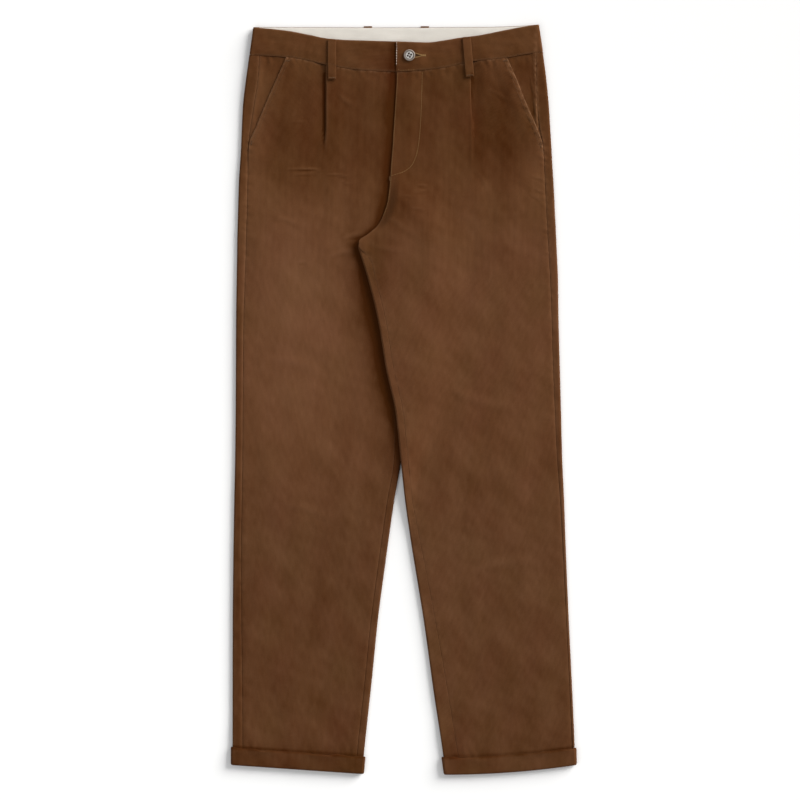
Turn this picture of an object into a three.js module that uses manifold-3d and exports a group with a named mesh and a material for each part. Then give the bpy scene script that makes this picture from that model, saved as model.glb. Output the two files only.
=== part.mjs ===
// Corduroy trousers laid flat on their back: two legs, the left one lying over the right at the
// crotch, a waistband whose front dips to show the lining of its back, one pleat and one slanted
// pocket on each side, a buttoned fly, belt loops and turned-up hems.
// Millimetres. X runs across the garment to the wearer's left, Y from the hems up to the waist and
// Z up off the surface that it lies on. The origin is the middle of the garment on that surface.

import * as THREE from "three";
import { mergeVertices } from "three/addons/utils/BufferGeometryUtils.js";
import Module from "manifold-3d";

// Cloth and stacking
const CLOTH = 1.4; // corduroy
const BAND_CLOTH = 2.4; // waistband, two layers and its stiffener
const EXTENSION_CLOTH = 1.6; // the button tab under the front of the band
const LINING_CLOTH = 1.0;
const SEAM_GAP = 0.3; // between two pieces that are sewn together
const LEG_LOFT = 4.0; // from the middle of the lower wall to that of the upper one
const STEP = 0.9; // half of what one layer rises over another at a lap

// Waist
const WAIST_Y = 472; // the waist seam at the fly
const BAND_HEIGHT = 40;
const BAND_FRONT_Z = 7.3;
const BAND_BACK_Z = 2.9;
const WAIST_LIFT = 1.7; // the panels rise this much to meet the band
const FLY_LAP_X = 14; // how far the button tab reaches under the left half
const FLY_LAP_RISE = 1.9;
const CENTRE_BACK_X = -10.8;

// Overlap of the legs
const OVERLAP_RISE = 6.2; // the left leg over the right one
const OVERLAP_RAMP = 30; // the run in which the left leg comes down to the surface

// Pleats
const PLEAT_STEP = 1.7; // from layer to layer
const PLEAT_RISE = 1.2;
const PLEAT_DEPTH = 17; // folded under at the waist
const PLEAT_END_Y = 335;
const PLEAT_TUCK = 0.8; // the folds under it stop this far below the waist seam

// Hems
const HEM_Y = -536;
const CUFF_HEIGHT = 25;
const CUFF_CLOTH = 2.2;
const CUFF_LIFT = 2.5; // the lower wall of the leg over the turned-up cloth
const HEM_LOFT = 2.2;
const HEM_END = 2.6; // the leg's cloth stops this far above the fold of the cuff

// Loops and button
const LOOP_WIDTH = 12;
const BUTTON = { x: 7.9, y: 495.4, z: 10.7, radius: 8.75, thickness: 3.0, hole: 0.95, holeOffset: 1.9 };

const CORDUROY = { color: 0x5c3c24, roughness: 0.92 };
const COTTON = { color: 0xd9d3c9, roughness: 0.9 };
const HORN = { color: 0x8d8278, roughness: 0.35 };
const THREAD = { color: 0xa58a5c, roughness: 0.8 };

// A table: the names of its columns, then a row for each section.
function table(columns, rows) {
  const names = columns.split(" ");
  return rows.map((row) => Object.fromEntries(names.map((name, i) => [name, row[i]])));
}

// A smooth curve through a table's values that never overshoots them (monotone cubic).
function curve(rows, key, value) {
  const points = rows.map((row) => [row[key], row[value]]).sort((a, b) => a[0] - b[0]);
  const slope = points.slice(1).map((p, i) => (p[1] - points[i][1]) / (p[0] - points[i][0]));
  const tangent = points.map((_, i) => {
    const before = slope[i - 1];
    const after = slope[i];
    if (before === undefined || after === undefined) return before ?? after;
    return before * after <= 0 ? 0 : (2 * before * after) / (before + after);
  });
  return (at) => {
    const k = THREE.MathUtils.clamp(at, points[0][0], points.at(-1)[0]);
    const i = Math.max(0, Math.min(points.length - 2, points.findIndex((p) => p[0] >= k) - 1));
    const h = points[i + 1][0] - points[i][0];
    const t = (k - points[i][0]) / h;
    const rise = t * t * (3 - 2 * t);
    return (
      points[i][1] * (1 - rise) +
      points[i + 1][1] * rise +
      h * t * (1 - t) * ((1 - t) * tangent[i] - t * tangent[i + 1])
    );
  };
}

// 0 at and before from, 1 at and past to, and smooth between them.
function ease(value, from, to) {
  const t = THREE.MathUtils.clamp((value - from) / (to - from), 0, 1);
  return t * t * (3 - 2 * t);
}

function spread(from, to, count) {
  return Array.from({ length: count }, (_, i) => from + ((to - from) * i) / (count - 1));
}

// The outline of each leg as it lies. u is the distance outwards from the origin's line: +X on the
// left leg and -X on the right one.
//   edge   the outer fold           seam   the outseam, which shows on the front
//   mouth  the front panel's outer end: the pocket mouth, and below it the outseam
//   front  the front panel's inner end: the fly, the crotch seam, and then the inseam
//   wrap   the back panel's inner end: the centre back seam, and then the inseam
//   inner  the inner fold
const LEG_COLUMNS = "y edge seam mouth front wrap inner";
const LEGS = {
  right: {
    sign: -1,
    pleat: 112.5,
    rows: table(LEG_COLUMNS, [
      [497, 222.5, 208.5, 168, -10, 10.95, 10.95],
      [461, 227.5, 210.5, 184, -9.5, 10.95, 10.95],
      [426, 231.7, 216, 199.5, -8, 10.95, 10.95],
      [393, 233.4, 221, 213, -5, 10.95, 10.95],
      [366, 234.5, 224, 223.5, -2, 10.95, 10.95],
      [338, 236.2, 224.8, 224.8, 6, 10.95, 10.95],
      [317, 237.6, 225.2, 225.2, 16.5, 10.95, 10.95],
      [302, 238.1, 225.5, 225.5, 19, 11.2, 9],
      [287, 238.6, 225.9, 225.9, 20.8, 12.5, 4],
      [271, 239, 226.2, 226.2, 24, 16, -3],
      [252, 239.5, 226.8, 226.8, 32.5, 25.5, -15.5],
      [238, 239.9, 227.2, 227.2, 47.5, 44.5, -23],
      [229, 240.1, 227.5, 227.5, 61.5, 60.5, -27],
      [221, 240.2, 227.6, 227.6, 61, 61, -29],
      [178, 240.9, 229, 229, 46, 46, -25],
      [115, 241.8, 231, 231, 30, 30, -17.3],
      [43, 242.1, 231.7, 231.7, 18, 18, -8.5],
      [-16, 242.4, 232.1, 232.1, 11, 11, -2.5],
      [-89, 243.2, 232.6, 232.6, 14.3, 14.3, 4.3],
      [-144, 244.4, 233.4, 233.4, 23.7, 23.7, 13.7],
      [-230, 245.8, 234.6, 234.6, 35.9, 35.9, 25.9],
      [-317, 246.6, 234, 234, 47.4, 47.4, 37.4],
      [-403, 246.8, 233, 233, 56.1, 56.1, 46.1],
      [-490, 246.8, 232.4, 232.4, 65.5, 65.5, 55.5],
      [-540, 246.8, 232.2, 232.2, 70.5, 70.5, 60.5],
    ]),
  },
  left: {
    sign: 1,
    pleat: 96,
    rows: table(LEG_COLUMNS, [
      [497, 200.6, 190.5, 146.5, -9.8, -10.6, -10.6],
      [461, 205.2, 190.8, 162.5, -10.6, -10.6, -10.6],
      [426, 208.7, 192, 176.5, -12.6, -10.6, -10.6],
      [393, 210.8, 195.5, 191, -14.8, -10.6, -10.6],
      [366, 212.4, 200.5, 200, -16.4, -10.6, -10.6],
      [338, 214, 202, 202, -18.6, -10.6, -10.6],
      [317, 215.3, 203, 203, -20, -10.6, -10.6],
      [302, 216.1, 203.7, 203.7, -21.4, -10.9, -10.9],
      [287, 216.9, 204.4, 204.4, -23.4, -12.2, -12.2],
      [271, 217.6, 205.3, 205.3, -28, -15.7, -15.7],
      [252, 218.6, 206.4, 206.4, -37, -25.2, -25.2],
      [238, 219.2, 207, 207, -52, -44.2, -44.2],
      [229, 219.7, 207.5, 207.5, -64.5, -60.2, -60.2],
      [221, 220, 208, 208, -60.2, -62.4, -66],
      [178, 222, 210.5, 210.5, -49, -49, -53],
      [114, 222.9, 213, 213, -33.3, -33.3, -37.3],
      [43, 224.8, 215, 215, -20.5, -20.5, -25.5],
      [-16, 226.4, 217.5, 217.5, -7, -7, -12.5],
      [-89, 228.3, 221, 221, 1.5, 1.5, -4.5],
      [-144, 230.8, 225, 225, 12, 12, 1.5],
      [-202, 232.8, 228, 228, 23, 23, 9.8],
      [-317, 237.6, 234, 234, 45, 45, 28.4],
      [-432, 243.2, 239.3, 239.3, 65, 65, 44.5],
      [-490, 245.6, 241.5, 241.5, 74.5, 74.5, 53.5],
      [-540, 246.8, 242.6, 242.6, 82, 82, 60.5],
    ]),
  },
};
const CROTCH_Y = 226;
for (const leg of Object.values(LEGS))
  for (const column of ["edge", "seam", "mouth", "front", "wrap", "inner"])
    leg[column] = curve(leg.rows, "y", column);

// The waistband's edges, and the waist seam under its front.
const BAND = table("x top bottom", [
  [-222, 536.7, 496.4],
  [-168, 531, 492.8],
  [-140, 525.9, 488.4],
  [-109, 519.8, 481.2],
  [-84, 517.9, 476.8],
  [-68, 517.3, 474.9],
  [-10, 515.5, 472],
  [33, 514.2, 474.8],
  [53, 516.4, 477.2],
  [80, 520.9, 482.6],
  [104, 523.8, 487.4],
  [146, 532, 491.8],
  [174, 537.2, 497],
  [201, 541, 500.7],
]);
const bandTop = curve(BAND, "x", "top");
const waistSeam = curve(BAND, "x", "bottom");
const backTop = curve(
  table("x y", [
    [-222, 536.7],
    [-10, 536],
    [110, 536.6],
    [160, 538],
    [201, 541],
  ]),
  "x",
  "y",
);

// The fold of each turned-up hem.
function hemFold(leg, x) {
  const across = (leg.sign * x - 60) / 188;
  return leg.sign < 0 ? -539 + 13 * across : -540 + 14 * across * across;
}

// The largest soft swells and hollows of the front, with their middles and half sizes.
const SWELLS = table("x y along across turn height", [
  [-150, 190, 150, 55, 8, 0.7],
  [-160, -60, 190, 50, -3, 0.5],
  [-140, -330, 160, 45, -12, -0.5],
  [-165, 395, 60, 22, 15, 0.6],
  [-60, 300, 90, 28, -8, -0.6],
  [-40, 420, 50, 22, 0, 0.4],
  [120, 150, 170, 55, -10, 0.6],
  [60, 250, 70, 30, 20, -0.5],
  [135, 390, 75, 28, 5, -0.6],
  [140, -110, 190, 50, -6, 0.5],
  [170, -350, 150, 45, 4, 0.5],
  [95, -390, 110, 26, 12, -0.5],
]);
function swell(x, y) {
  return SWELLS.reduce((sum, s) => {
    const turn = THREE.MathUtils.degToRad(s.turn);
    const across = (x - s.x) * Math.cos(turn) + (y - s.y) * Math.sin(turn);
    const along = (y - s.y) * Math.cos(turn) - (x - s.x) * Math.sin(turn);
    return sum + s.height * Math.exp(-((along / s.along) ** 2) - (across / s.across) ** 2);
  }, 0);
}

// Heights of the middle of a wall.
const upperLevel = (y) =>
  CLOTH / 2 + LEG_LOFT + WAIST_LIFT * ease(y, 389, 475) + (CUFF_LIFT + HEM_LOFT - LEG_LOFT) * ease(-y, 456, 484);
const lowerLevel = (y) => CLOTH / 2 + WAIST_LIFT * ease(y, 430, 476) + CUFF_LIFT * ease(-y, 456, 484);

// Where the left leg has to start down off the right one under it.
const reach = (y) => 3 - LEGS.right.inner(y);

// How far the left leg is raised by the right one.
function overlapRise(leg, x, y) {
  if (leg.sign < 0) return 0;
  return OVERLAP_RISE * ease(-y, -335, -287) * (1 - ease(x, reach(y), reach(y) + OVERLAP_RAMP));
}

// The front panel's height away from its pleat: raised over the pocket's facing, lapped at the fly,
// and brought down to the crotch seam where the left panel is sewn to the right one.
function frontHeight(leg, u, y) {
  const x = leg.sign * u;
  const overPocket = ease(y, 330, 354) * (1 - ease(leg.mouth(y) - u, 14, 32));
  const aboveCrotch = ease(y, 230, 256);
  let height = upperLevel(y) + STEP * overPocket;
  if (leg.sign < 0) {
    const lap = LEGS.left.front(y);
    height -= STEP * aboveCrotch * ease(x, lap - 15, lap - 3);
  } else {
    const under = -LEGS.right.front(y);
    height += (STEP + 0.1) * aboveCrotch * (1 - ease(x, under + 2, under + 18));
    const sewnDown = aboveCrotch * (1 - ease(u - leg.front(y), 0, 16));
    height += overlapRise(leg, x, y) * (1 - sewnDown);
  }
  const clearOfEdge = ease(u - leg.front(y), 8, 40) * ease(leg.mouth(y) - u, 4, 30);
  const clearOfWaist = 1 - ease(y, 430, 465);
  const clearOfOverlap = leg.sign > 0 ? 1 : ease(u, 2 - LEGS.left.inner(Math.min(y, 229)), 110);
  return height + swell(x, y) * clearOfEdge * clearOfWaist * clearOfOverlap * ease(y, -470, -430);
}

// The rows of the panels are numbered by their y at the fly, and bend to the waist seam at the top
// and to the hem's slant at the bottom.
const ROWS = [
  WAIST_Y, 452, 432, 410, 390, 370, 352, 335, 317, 302, 287, 271, 252, 238, 229, 221, 178, 115, 43, -16, -89, -144,
  -202, -317, -432, -470, -484, -500, HEM_Y,
];
function rowY(leg, u, row, waistline) {
  const waist = (waistline(leg.sign * u) - WAIST_Y) * ease(row, 370, WAIST_Y);
  const hem = (hemFold(leg, leg.sign * u) + HEM_END - HEM_Y) * ease(-row, 380, -HEM_Y);
  return row + waist + hem;
}

// Where a row meets one of its leg's curves.
function meet(leg, column, row, waistline) {
  let u = leg[column](row);
  for (let i = 0; i < 4; i += 1) u = leg[column](rowY(leg, u, row, waistline));
  return u;
}

// One wall of cloth. Each row is the middle of the wall as points of u, y and z along a section; the
// wall has half of its thickness on either side, square to the section.
function wall(rows, sign, thickness) {
  const height = rows.length;
  const width = rows[0].length;
  const outer = [];
  const inner = [];
  for (const row of rows)
    row.forEach((p, i) => {
      const a = row[Math.max(0, i - 1)];
      const b = row[Math.min(width - 1, i + 1)];
      const normal = new THREE.Vector2(-(b.z - a.z), b.u - a.u).normalize();
      const half = (p.thickness ?? thickness) / 2;
      outer.push([sign * (p.u + normal.x * half), p.y, p.z + normal.y * half]);
      inner.push([sign * (p.u - normal.x * half), p.y, p.z - normal.y * half]);
    });
  const positions = [...outer, ...inner];
  const at = (side, r, c) => side * height * width + r * width + c;
  const index = [];
  const quad = (a, b, c, d) => index.push(a, b, c, a, c, d);
  for (let r = 0; r + 1 < height; r += 1) {
    for (let c = 0; c + 1 < width; c += 1) {
      quad(at(0, r, c), at(0, r, c + 1), at(0, r + 1, c + 1), at(0, r + 1, c));
      quad(at(1, r, c), at(1, r + 1, c), at(1, r + 1, c + 1), at(1, r, c + 1));
    }
    quad(at(0, r, 0), at(0, r + 1, 0), at(1, r + 1, 0), at(1, r, 0));
    quad(at(0, r, width - 1), at(1, r, width - 1), at(1, r + 1, width - 1), at(0, r + 1, width - 1));
  }
  for (let c = 0; c + 1 < width; c += 1) {
    quad(at(0, 0, c), at(1, 0, c), at(1, 0, c + 1), at(0, 0, c + 1));
    quad(at(0, height - 1, c), at(0, height - 1, c + 1), at(1, height - 1, c + 1), at(1, height - 1, c));
  }
  return facingOut(positions, index);
}

// A geometry from points and triangles, turned round if its faces point inwards.
function facingOut(positions, index) {
  let volume = 0;
  for (let i = 0; i < index.length; i += 3) {
    const [a, b, c] = [0, 1, 2].map((k) => new THREE.Vector3(...positions[index[i + k]]));
    volume += a.dot(b.cross(c));
  }
  if (volume < 0)
    for (let i = 0; i < index.length; i += 3) [index[i], index[i + 1]] = [index[i + 1], index[i]];
  const geometry = new THREE.BufferGeometry();
  geometry.setAttribute("position", new THREE.Float32BufferAttribute(positions.flat(), 3));
  geometry.setIndex(index);
  geometry.computeVertexNormals();
  return geometry;
}

// Half a turn of cloth round a fold, from one height to the other, bulging towards +u or -u.
function fold(edge, from, to, outwards, steps) {
  const radius = Math.abs(to - from) / 2;
  const centre = edge - outwards * (radius + CLOTH / 2);
  return spread(0, Math.PI, steps + 1).map((angle) => ({
    u: centre + outwards * radius * Math.sin(angle),
    z: (from + to) / 2 + ((from - to) / 2) * Math.cos(angle),
  }));
}

// Columns from the inner end of a wall to its outer one. They are closer together where the layers
// lap, and on the left leg where it comes down off the right one.
function columns(leg, y, inner, outer, count) {
  if (leg.sign < 0) {
    const lap = Math.max(3 - LEGS.left.front(y), inner + 2.5);
    return [inner, lap, lap + 6, ...spread(lap + 12, outer, count + 1)];
  }
  const head = Math.max(reach(y), inner + 18);
  const foot = Math.max(reach(y) + OVERLAP_RAMP, head + 20);
  const lap = [inner, inner + 6, inner + 11, inner + 16];
  return [...lap, ...spread(head, foot, 5), ...spread(foot, outer, count).slice(1)];
}

// The pleat lies over itself: its fold faces outwards, and it opens out where it ends.
function frontPanel(leg) {
  const rows = ROWS.map((row) => {
    const inner = meet(leg, "front", row, waistSeam) + (row < CROTCH_Y ? SEAM_GAP : 0);
    const seam = meet(leg, "seam", row, waistSeam);
    const outer = Math.min(meet(leg, "mouth", row, waistSeam), seam - SEAM_GAP);
    const yAt = (u) => rowY(leg, u, row, waistSeam);
    const flat = (u) => ({ u, z: frontHeight(leg, u, yAt(u)) });
    const folded = row > PLEAT_END_Y;
    const radius = PLEAT_STEP / 2;
    const end = leg.pleat - radius - CLOTH / 2;
    const path = [];
    if (folded) {
      const raised = (u) => flat(u).z + PLEAT_RISE * (1 - ease(leg.pleat - u, 2, 30));
      const top = raised(leg.pleat);
      const depth = Math.max(2, (PLEAT_DEPTH * (row - PLEAT_END_Y)) / (WAIST_Y - PLEAT_END_Y));
      const under = end - depth - radius - CLOTH / 2;
      for (const u of [...columns(leg, yAt(0), inner, end - 7, 6), end]) path.push({ u, z: raised(u) });
      const turns = [
        ...fold(leg.pleat, top, top - PLEAT_STEP, 1, 4).slice(1),
        ...fold(under, top - PLEAT_STEP, top - 2 * PLEAT_STEP, -1, 4),
      ];
      path.push(...turns.map((p, i) => ({ ...p, tuck: PLEAT_TUCK * Math.min(1, i / 3) })));
      for (const u of [-1, 4, 9, 15].map((beyond) => leg.pleat + beyond)) {
        const risen = ease(u, leg.pleat - 1, leg.pleat + 22);
        const z = THREE.MathUtils.lerp(top - 2 * PLEAT_STEP, flat(u).z, risen);
        path.push({ u, z, tuck: PLEAT_TUCK * (1 - risen) });
      }
    } else {
      for (const u of columns(leg, yAt(0), inner, end - 7, 6)) path.push(flat(u));
      for (const u of spread(end - 5, leg.pleat + 16, 14)) path.push(flat(u));
    }
    for (const u of spread(leg.pleat + 22, outer, 7)) path.push(flat(u));
    return path.map((p) => ({ ...p, y: yAt(p.u) - (p.tuck ?? 0) }));
  });
  return wall(rows, leg.sign, CLOTH);
}

// The back lies on the surface, turns up round the outer fold to the outseam, and further down round
// the inner fold to the seam that joins it there.
function backPanel(leg) {
  const waistline = (x) => backTop(x) - BAND_HEIGHT - SEAM_GAP;
  const foldStart = leg.sign < 0 ? 317 : 229;
  const folded = leg.sign < 0 ? 287 : 221;
  const rows = ROWS.map((row) => {
    const frontY = (u) => rowY(leg, u, row, waistSeam);
    const yAt = (u) => rowY(leg, u, row, waistline);
    const seam = meet(leg, "seam", row, waistline);
    const edge = meet(leg, "edge", row, waistline);
    const inner = meet(leg, "inner", row, waistline);
    const wrap = meet(leg, "wrap", row, waistline);
    const low = (u) => lowerLevel(yAt(u)) + overlapRise(leg, leg.sign * u, yAt(u));
    const high = (u) => upperLevel(yAt(u)) + overlapRise(leg, leg.sign * u, yAt(u));
    const path = [seam, (seam + edge - 3) / 2].map((u) => ({ u, z: high(u) }));
    path.push(...fold(edge, high(edge), low(edge), 1, 5));
    for (const p of path) p.y = p.z > (high(edge) + low(edge)) / 2 ? frontY(p.u) : yAt(p.u);
    for (const u of columns(leg, yAt(0), inner + 12, edge - 9, 6).reverse()) path.push({ u, z: low(u) });
    const turned = fold(inner, low(inner), high(inner), -1, 5);
    for (const u of spread(turned.at(-1).u, wrap, 4).slice(1)) turned.push({ u, z: high(u) });
    const curl = ease(-row, -foldStart, -folded);
    spread(inner + 9, inner, turned.length).forEach((u, i) => {
      path.push({
        u: THREE.MathUtils.lerp(u, turned[i].u, curl),
        z: THREE.MathUtils.lerp(low(u), turned[i].z, curl),
      });
    });
    return path.map((p) => ({ y: yAt(p.u), ...p }));
  });
  return wall(rows, leg.sign, CLOTH);
}

// The piece that shows between the slanted pocket mouth and the outseam.
function pocketFacing(leg) {
  const rows = ROWS.filter((row) => row >= 352).map((row) => {
    const seam = meet(leg, "seam", row, waistSeam) - SEAM_GAP;
    const mouth = meet(leg, "mouth", row, waistSeam);
    const tucked = 1 - ease(seam - mouth, 4, 14);
    return spread(mouth - 12, seam, 8).map((u) => {
      const y = rowY(leg, u, row, waistSeam);
      const drop = STEP * Math.max(ease(seam - u, 0, 8), tucked);
      return { u, y, z: upperLevel(y) - drop };
    });
  });
  return wall(rows, leg.sign, CLOTH);
}

// Each half of the waistband runs from the fly round the side to the centre back.
function waistband(leg) {
  const start = leg.sign < 0 ? -FLY_LAP_X : leg.front(WAIST_Y) - 0.4;
  const end = leg.sign * CENTRE_BACK_X + SEAM_GAP / 2;
  const rows = [0, 1].map((down) => {
    const edge = THREE.MathUtils.lerp(leg.sign < 0 ? 217 : 194.5, leg.edge(497), down);
    const frontY = (u) => {
      const x = leg.sign * u;
      return THREE.MathUtils.lerp(bandTop(x), waistSeam(x) + SEAM_GAP, down);
    };
    const path = [];
    const stops = [
      ...spread(start, 38, 9),
      ...spread(46, leg.pleat - 16, 6),
      ...spread(leg.pleat - 12, leg.pleat + 8, 6),
      ...spread(leg.pleat + 16, edge - 6, 10),
    ];
    for (const u of stops) {
      const tab = leg.sign < 0 ? 1 - ease(u, 11, 15) : 0;
      const lapped = leg.sign > 0 ? 1 - ease(u, FLY_LAP_X + 4, FLY_LAP_X + 24) : 0;
      const thickness = THREE.MathUtils.lerp(BAND_CLOTH, EXTENSION_CLOTH, tab);
      const z = BAND_FRONT_Z + FLY_LAP_RISE * lapped - ((BAND_CLOTH - EXTENSION_CLOTH) / 2) * tab;
      path.push({ u, z, y: frontY(u), thickness });
    }
    const radius = (BAND_FRONT_Z - BAND_BACK_Z) / 2;
    for (const angle of spread(0, Math.PI, 7)) {
      const u = edge - radius - BAND_CLOTH / 2 + radius * Math.sin(angle);
      path.push({ u, z: BAND_BACK_Z + radius + radius * Math.cos(angle), y: frontY(edge) });
    }
    for (const u of spread(edge - 12, end, 9))
      path.push({ u, z: BAND_BACK_Z, y: backTop(leg.sign * u) - BAND_HEIGHT * down });
    return path;
  });
  return wall(rows, leg.sign, BAND_CLOTH);
}

// The cream lining on the inside of the band's back, which shows above the dipped front.
function waistbandLining() {
  const z = BAND_BACK_Z + (BAND_CLOTH + LINING_CLOTH) / 2 + SEAM_GAP;
  const rows = [0.8, BAND_HEIGHT].map((down) =>
    spread(-209, 187, 19).map((u) => ({ u, z, y: backTop(u) - down })),
  );
  return wall(rows, 1, LINING_CLOTH);
}

// The turned-up cloth, a ring round the end of the leg. Its profile gives the distance out from the
// leg's surface and the height over the fold.
const CUFF_PROFILE = table("out up", [
  [SEAM_GAP, CUFF_HEIGHT - 1],
  [0.9, CUFF_HEIGHT + 0.2],
  [1.9, CUFF_HEIGHT + 0.2],
  [SEAM_GAP + CUFF_CLOTH, CUFF_HEIGHT - 1],
  [SEAM_GAP + CUFF_CLOTH, 2.2],
  [1.8, 0.6],
  [0.3, 0],
  [-1.1, 0.5],
  [-1.7, 1.3],
  [-1.6, HEM_END - SEAM_GAP],
  [SEAM_GAP, HEM_END - SEAM_GAP],
]);
function cuff(leg) {
  const radius = (HEM_LOFT + CLOTH) / 2;
  const middle = CUFF_LIFT + radius;
  const ring = (y) => {
    const outer = leg.edge(y) - radius;
    const inner = leg.inner(y) + radius;
    const half = (from, centre) =>
      spread(from, from + Math.PI, 7).map((a) => ({ u: centre, dir: [Math.cos(a), Math.sin(a)] }));
    const flat = (from, to, up) => spread(from, to, 8).slice(1, -1).map((u) => ({ u, dir: [0, up] }));
    return [
      ...half(-Math.PI / 2, outer),
      ...flat(outer, inner, 1),
      ...half(Math.PI / 2, inner),
      ...flat(inner, outer, -1),
    ];
  };
  const loops = CUFF_PROFILE.map(({ out, up }) =>
    ring(HEM_Y + up).map(({ u, dir }) => {
      const x = leg.sign * (u + dir[0] * (radius + out));
      return [x, hemFold(leg, x) + up, middle + dir[1] * (radius + out)];
    }),
  );
  return tube(loops);
}

// A ring: closed loops of points, joined in turn and the last to the first.
function tube(loops) {
  const width = loops[0].length;
  const index = [];
  loops.forEach((_, r) => {
    const next = (r + 1) % loops.length;
    for (let c = 0; c < width; c += 1) {
      const d = (c + 1) % width;
      const [p, q, s, t] = [r * width + c, r * width + d, next * width + d, next * width + c];
      index.push(p, q, s, p, s, t);
    }
  });
  return facingOut(loops.flat(), index);
}

// A belt loop from the side: doubled at both ends where it is sewn, and bowed off the band between.
function loopGeometry(length, endThickness, bow, thickness) {
  const profile = new THREE.Shape();
  profile.moveTo(0, 0);
  profile.lineTo(6, 0);
  if (bow > 0) {
    profile.quadraticCurveTo(length / 2, 2 * bow, length - 9, 0);
  }
  profile.lineTo(length, 0);
  profile.lineTo(length, endThickness * 0.7);
  profile.quadraticCurveTo(length, endThickness, length - 1.2, endThickness);
  profile.lineTo(length - 8, endThickness);
  profile.quadraticCurveTo(length / 2, 2 * (bow + thickness) - endThickness, 5, endThickness);
  profile.lineTo(1.2, endThickness);
  profile.quadraticCurveTo(0, endThickness, 0, endThickness * 0.7);
  const geometry = new THREE.ExtrudeGeometry(profile, {
    depth: LOOP_WIDTH,
    bevelEnabled: false,
    curveSegments: 4,
    steps: 1,
  });
  geometry.translate(0, 0, -LOOP_WIDTH / 2);
  geometry.rotateX(Math.PI / 2);
  return geometry.rotateZ(-Math.PI / 2);
}

function solidOf(geometry) {
  const bare = geometry.index ? geometry.toNonIndexed() : geometry.clone();
  bare.deleteAttribute("normal");
  bare.deleteAttribute("uv");
  const merged = mergeVertices(bare, 1e-4);
  return new wasm.Manifold(
    new wasm.Mesh({
      numProp: 3,
      vertProperties: merged.attributes.position.array,
      triVerts: new Uint32Array(merged.index.array),
    }),
  );
}

function geometryOf(solid) {
  const mesh = solid.getMesh();
  const geometry = new THREE.BufferGeometry();
  geometry.setAttribute("position", new THREE.BufferAttribute(mesh.vertProperties, 3));
  geometry.setIndex(new THREE.BufferAttribute(mesh.triVerts, 1));
  geometry.computeVertexNormals();
  return geometry;
}

// A dished button with a rim and four holes.
function buttonGeometry() {
  const { radius, thickness, hole, holeOffset } = BUTTON;
  const profile = [
    [0, 0.3],
    [radius * 0.5, 0],
    [radius - 1.2, 0.5],
    [radius, thickness * 0.5],
    [radius - 0.3, thickness * 0.85],
    [radius - 1.2, thickness],
    [radius - 2.2, thickness * 0.85],
    [radius - 3, thickness * 0.62],
    [0, thickness * 0.55],
  ].map(([r, z]) => new THREE.Vector2(r, z));
  const disc = solidOf(new THREE.LatheGeometry(profile, 22).rotateX(Math.PI / 2));
  const holes = [45, 135, 225, 315].map((degrees) => {
    const angle = THREE.MathUtils.degToRad(degrees);
    const drill = new THREE.CylinderGeometry(hole, hole, 3 * thickness, 6).rotateX(Math.PI / 2);
    return solidOf(drill.translate(holeOffset * Math.cos(angle), holeOffset * Math.sin(angle), 0));
  });
  return geometryOf(holes.reduce((whole, drill) => whole.subtract(drill), disc));
}

// The buttonhole, held open by the button's shank and closing to a point.
function buttonholeCut() {
  const slit = new THREE.Shape();
  slit.moveTo(-2.6, -1.2);
  slit.lineTo(0, -1.8);
  slit.lineTo(23, -0.25);
  slit.lineTo(23, 0.25);
  slit.lineTo(0, 1.8);
  slit.lineTo(-2.6, 1.2);
  const cut = new THREE.ExtrudeGeometry(slit, { depth: 8, bevelEnabled: false });
  return solidOf(cut.translate(BUTTON.x, BUTTON.y, 5));
}

const wasm = await Module();
wasm.setup();

function piece(name, geometry, finish) {
  const mesh = new THREE.Mesh(geometry, new THREE.MeshStandardMaterial({ metalness: 0, ...finish }));
  mesh.name = name;
  return mesh;
}

function beltLoop(name, { x, y, z, turn = 0, geometry }) {
  const mesh = piece(name, geometry, CORDUROY);
  mesh.position.set(x, y, z);
  mesh.rotation.z = THREE.MathUtils.degToRad(turn);
  return mesh;
}

const trousers = new THREE.Group();
trousers.name = "corduroy_trousers";

for (const [side, leg] of Object.entries(LEGS)) {
  trousers.add(
    piece(`front_${side}`, frontPanel(leg), CORDUROY),
    piece(`back_${side}`, backPanel(leg), CORDUROY),
    piece(`pocket_facing_${side}`, pocketFacing(leg), CORDUROY),
    piece(`cuff_${side}`, cuff(leg), CORDUROY),
  );
}
trousers.add(
  piece("waistband_right", waistband(LEGS.right), CORDUROY),
  piece("waistband_left", geometryOf(solidOf(waistband(LEGS.left)).subtract(buttonholeCut())), CORDUROY),
  piece("waistband_lining", waistbandLining(), COTTON),
);

const FRONT_LOOP = loopGeometry(58, 2.4, 1.1, 1.5);
const BACK_LOOP = loopGeometry(57, 1.4, 0, 1.4);
trousers.add(
  beltLoop("belt_loop_front_right", { x: -103.5, y: 518.6, z: 8.8, geometry: FRONT_LOOP }),
  beltLoop("belt_loop_front_left", { x: 90, y: 522, z: 8.8, turn: 5, geometry: FRONT_LOOP }),
);
const BACK_LOOPS = table("name x", [
  ["right", CENTRE_BACK_X - 41],
  ["left", CENTRE_BACK_X + 41],
  ["side_right", CENTRE_BACK_X - 150],
  ["side_left", CENTRE_BACK_X + 150],
]);
for (const { name, x } of BACK_LOOPS)
  trousers.add(beltLoop(`belt_loop_back_${name}`, { x, y: backTop(x) + 1.2, z: 0, geometry: BACK_LOOP }));

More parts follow.
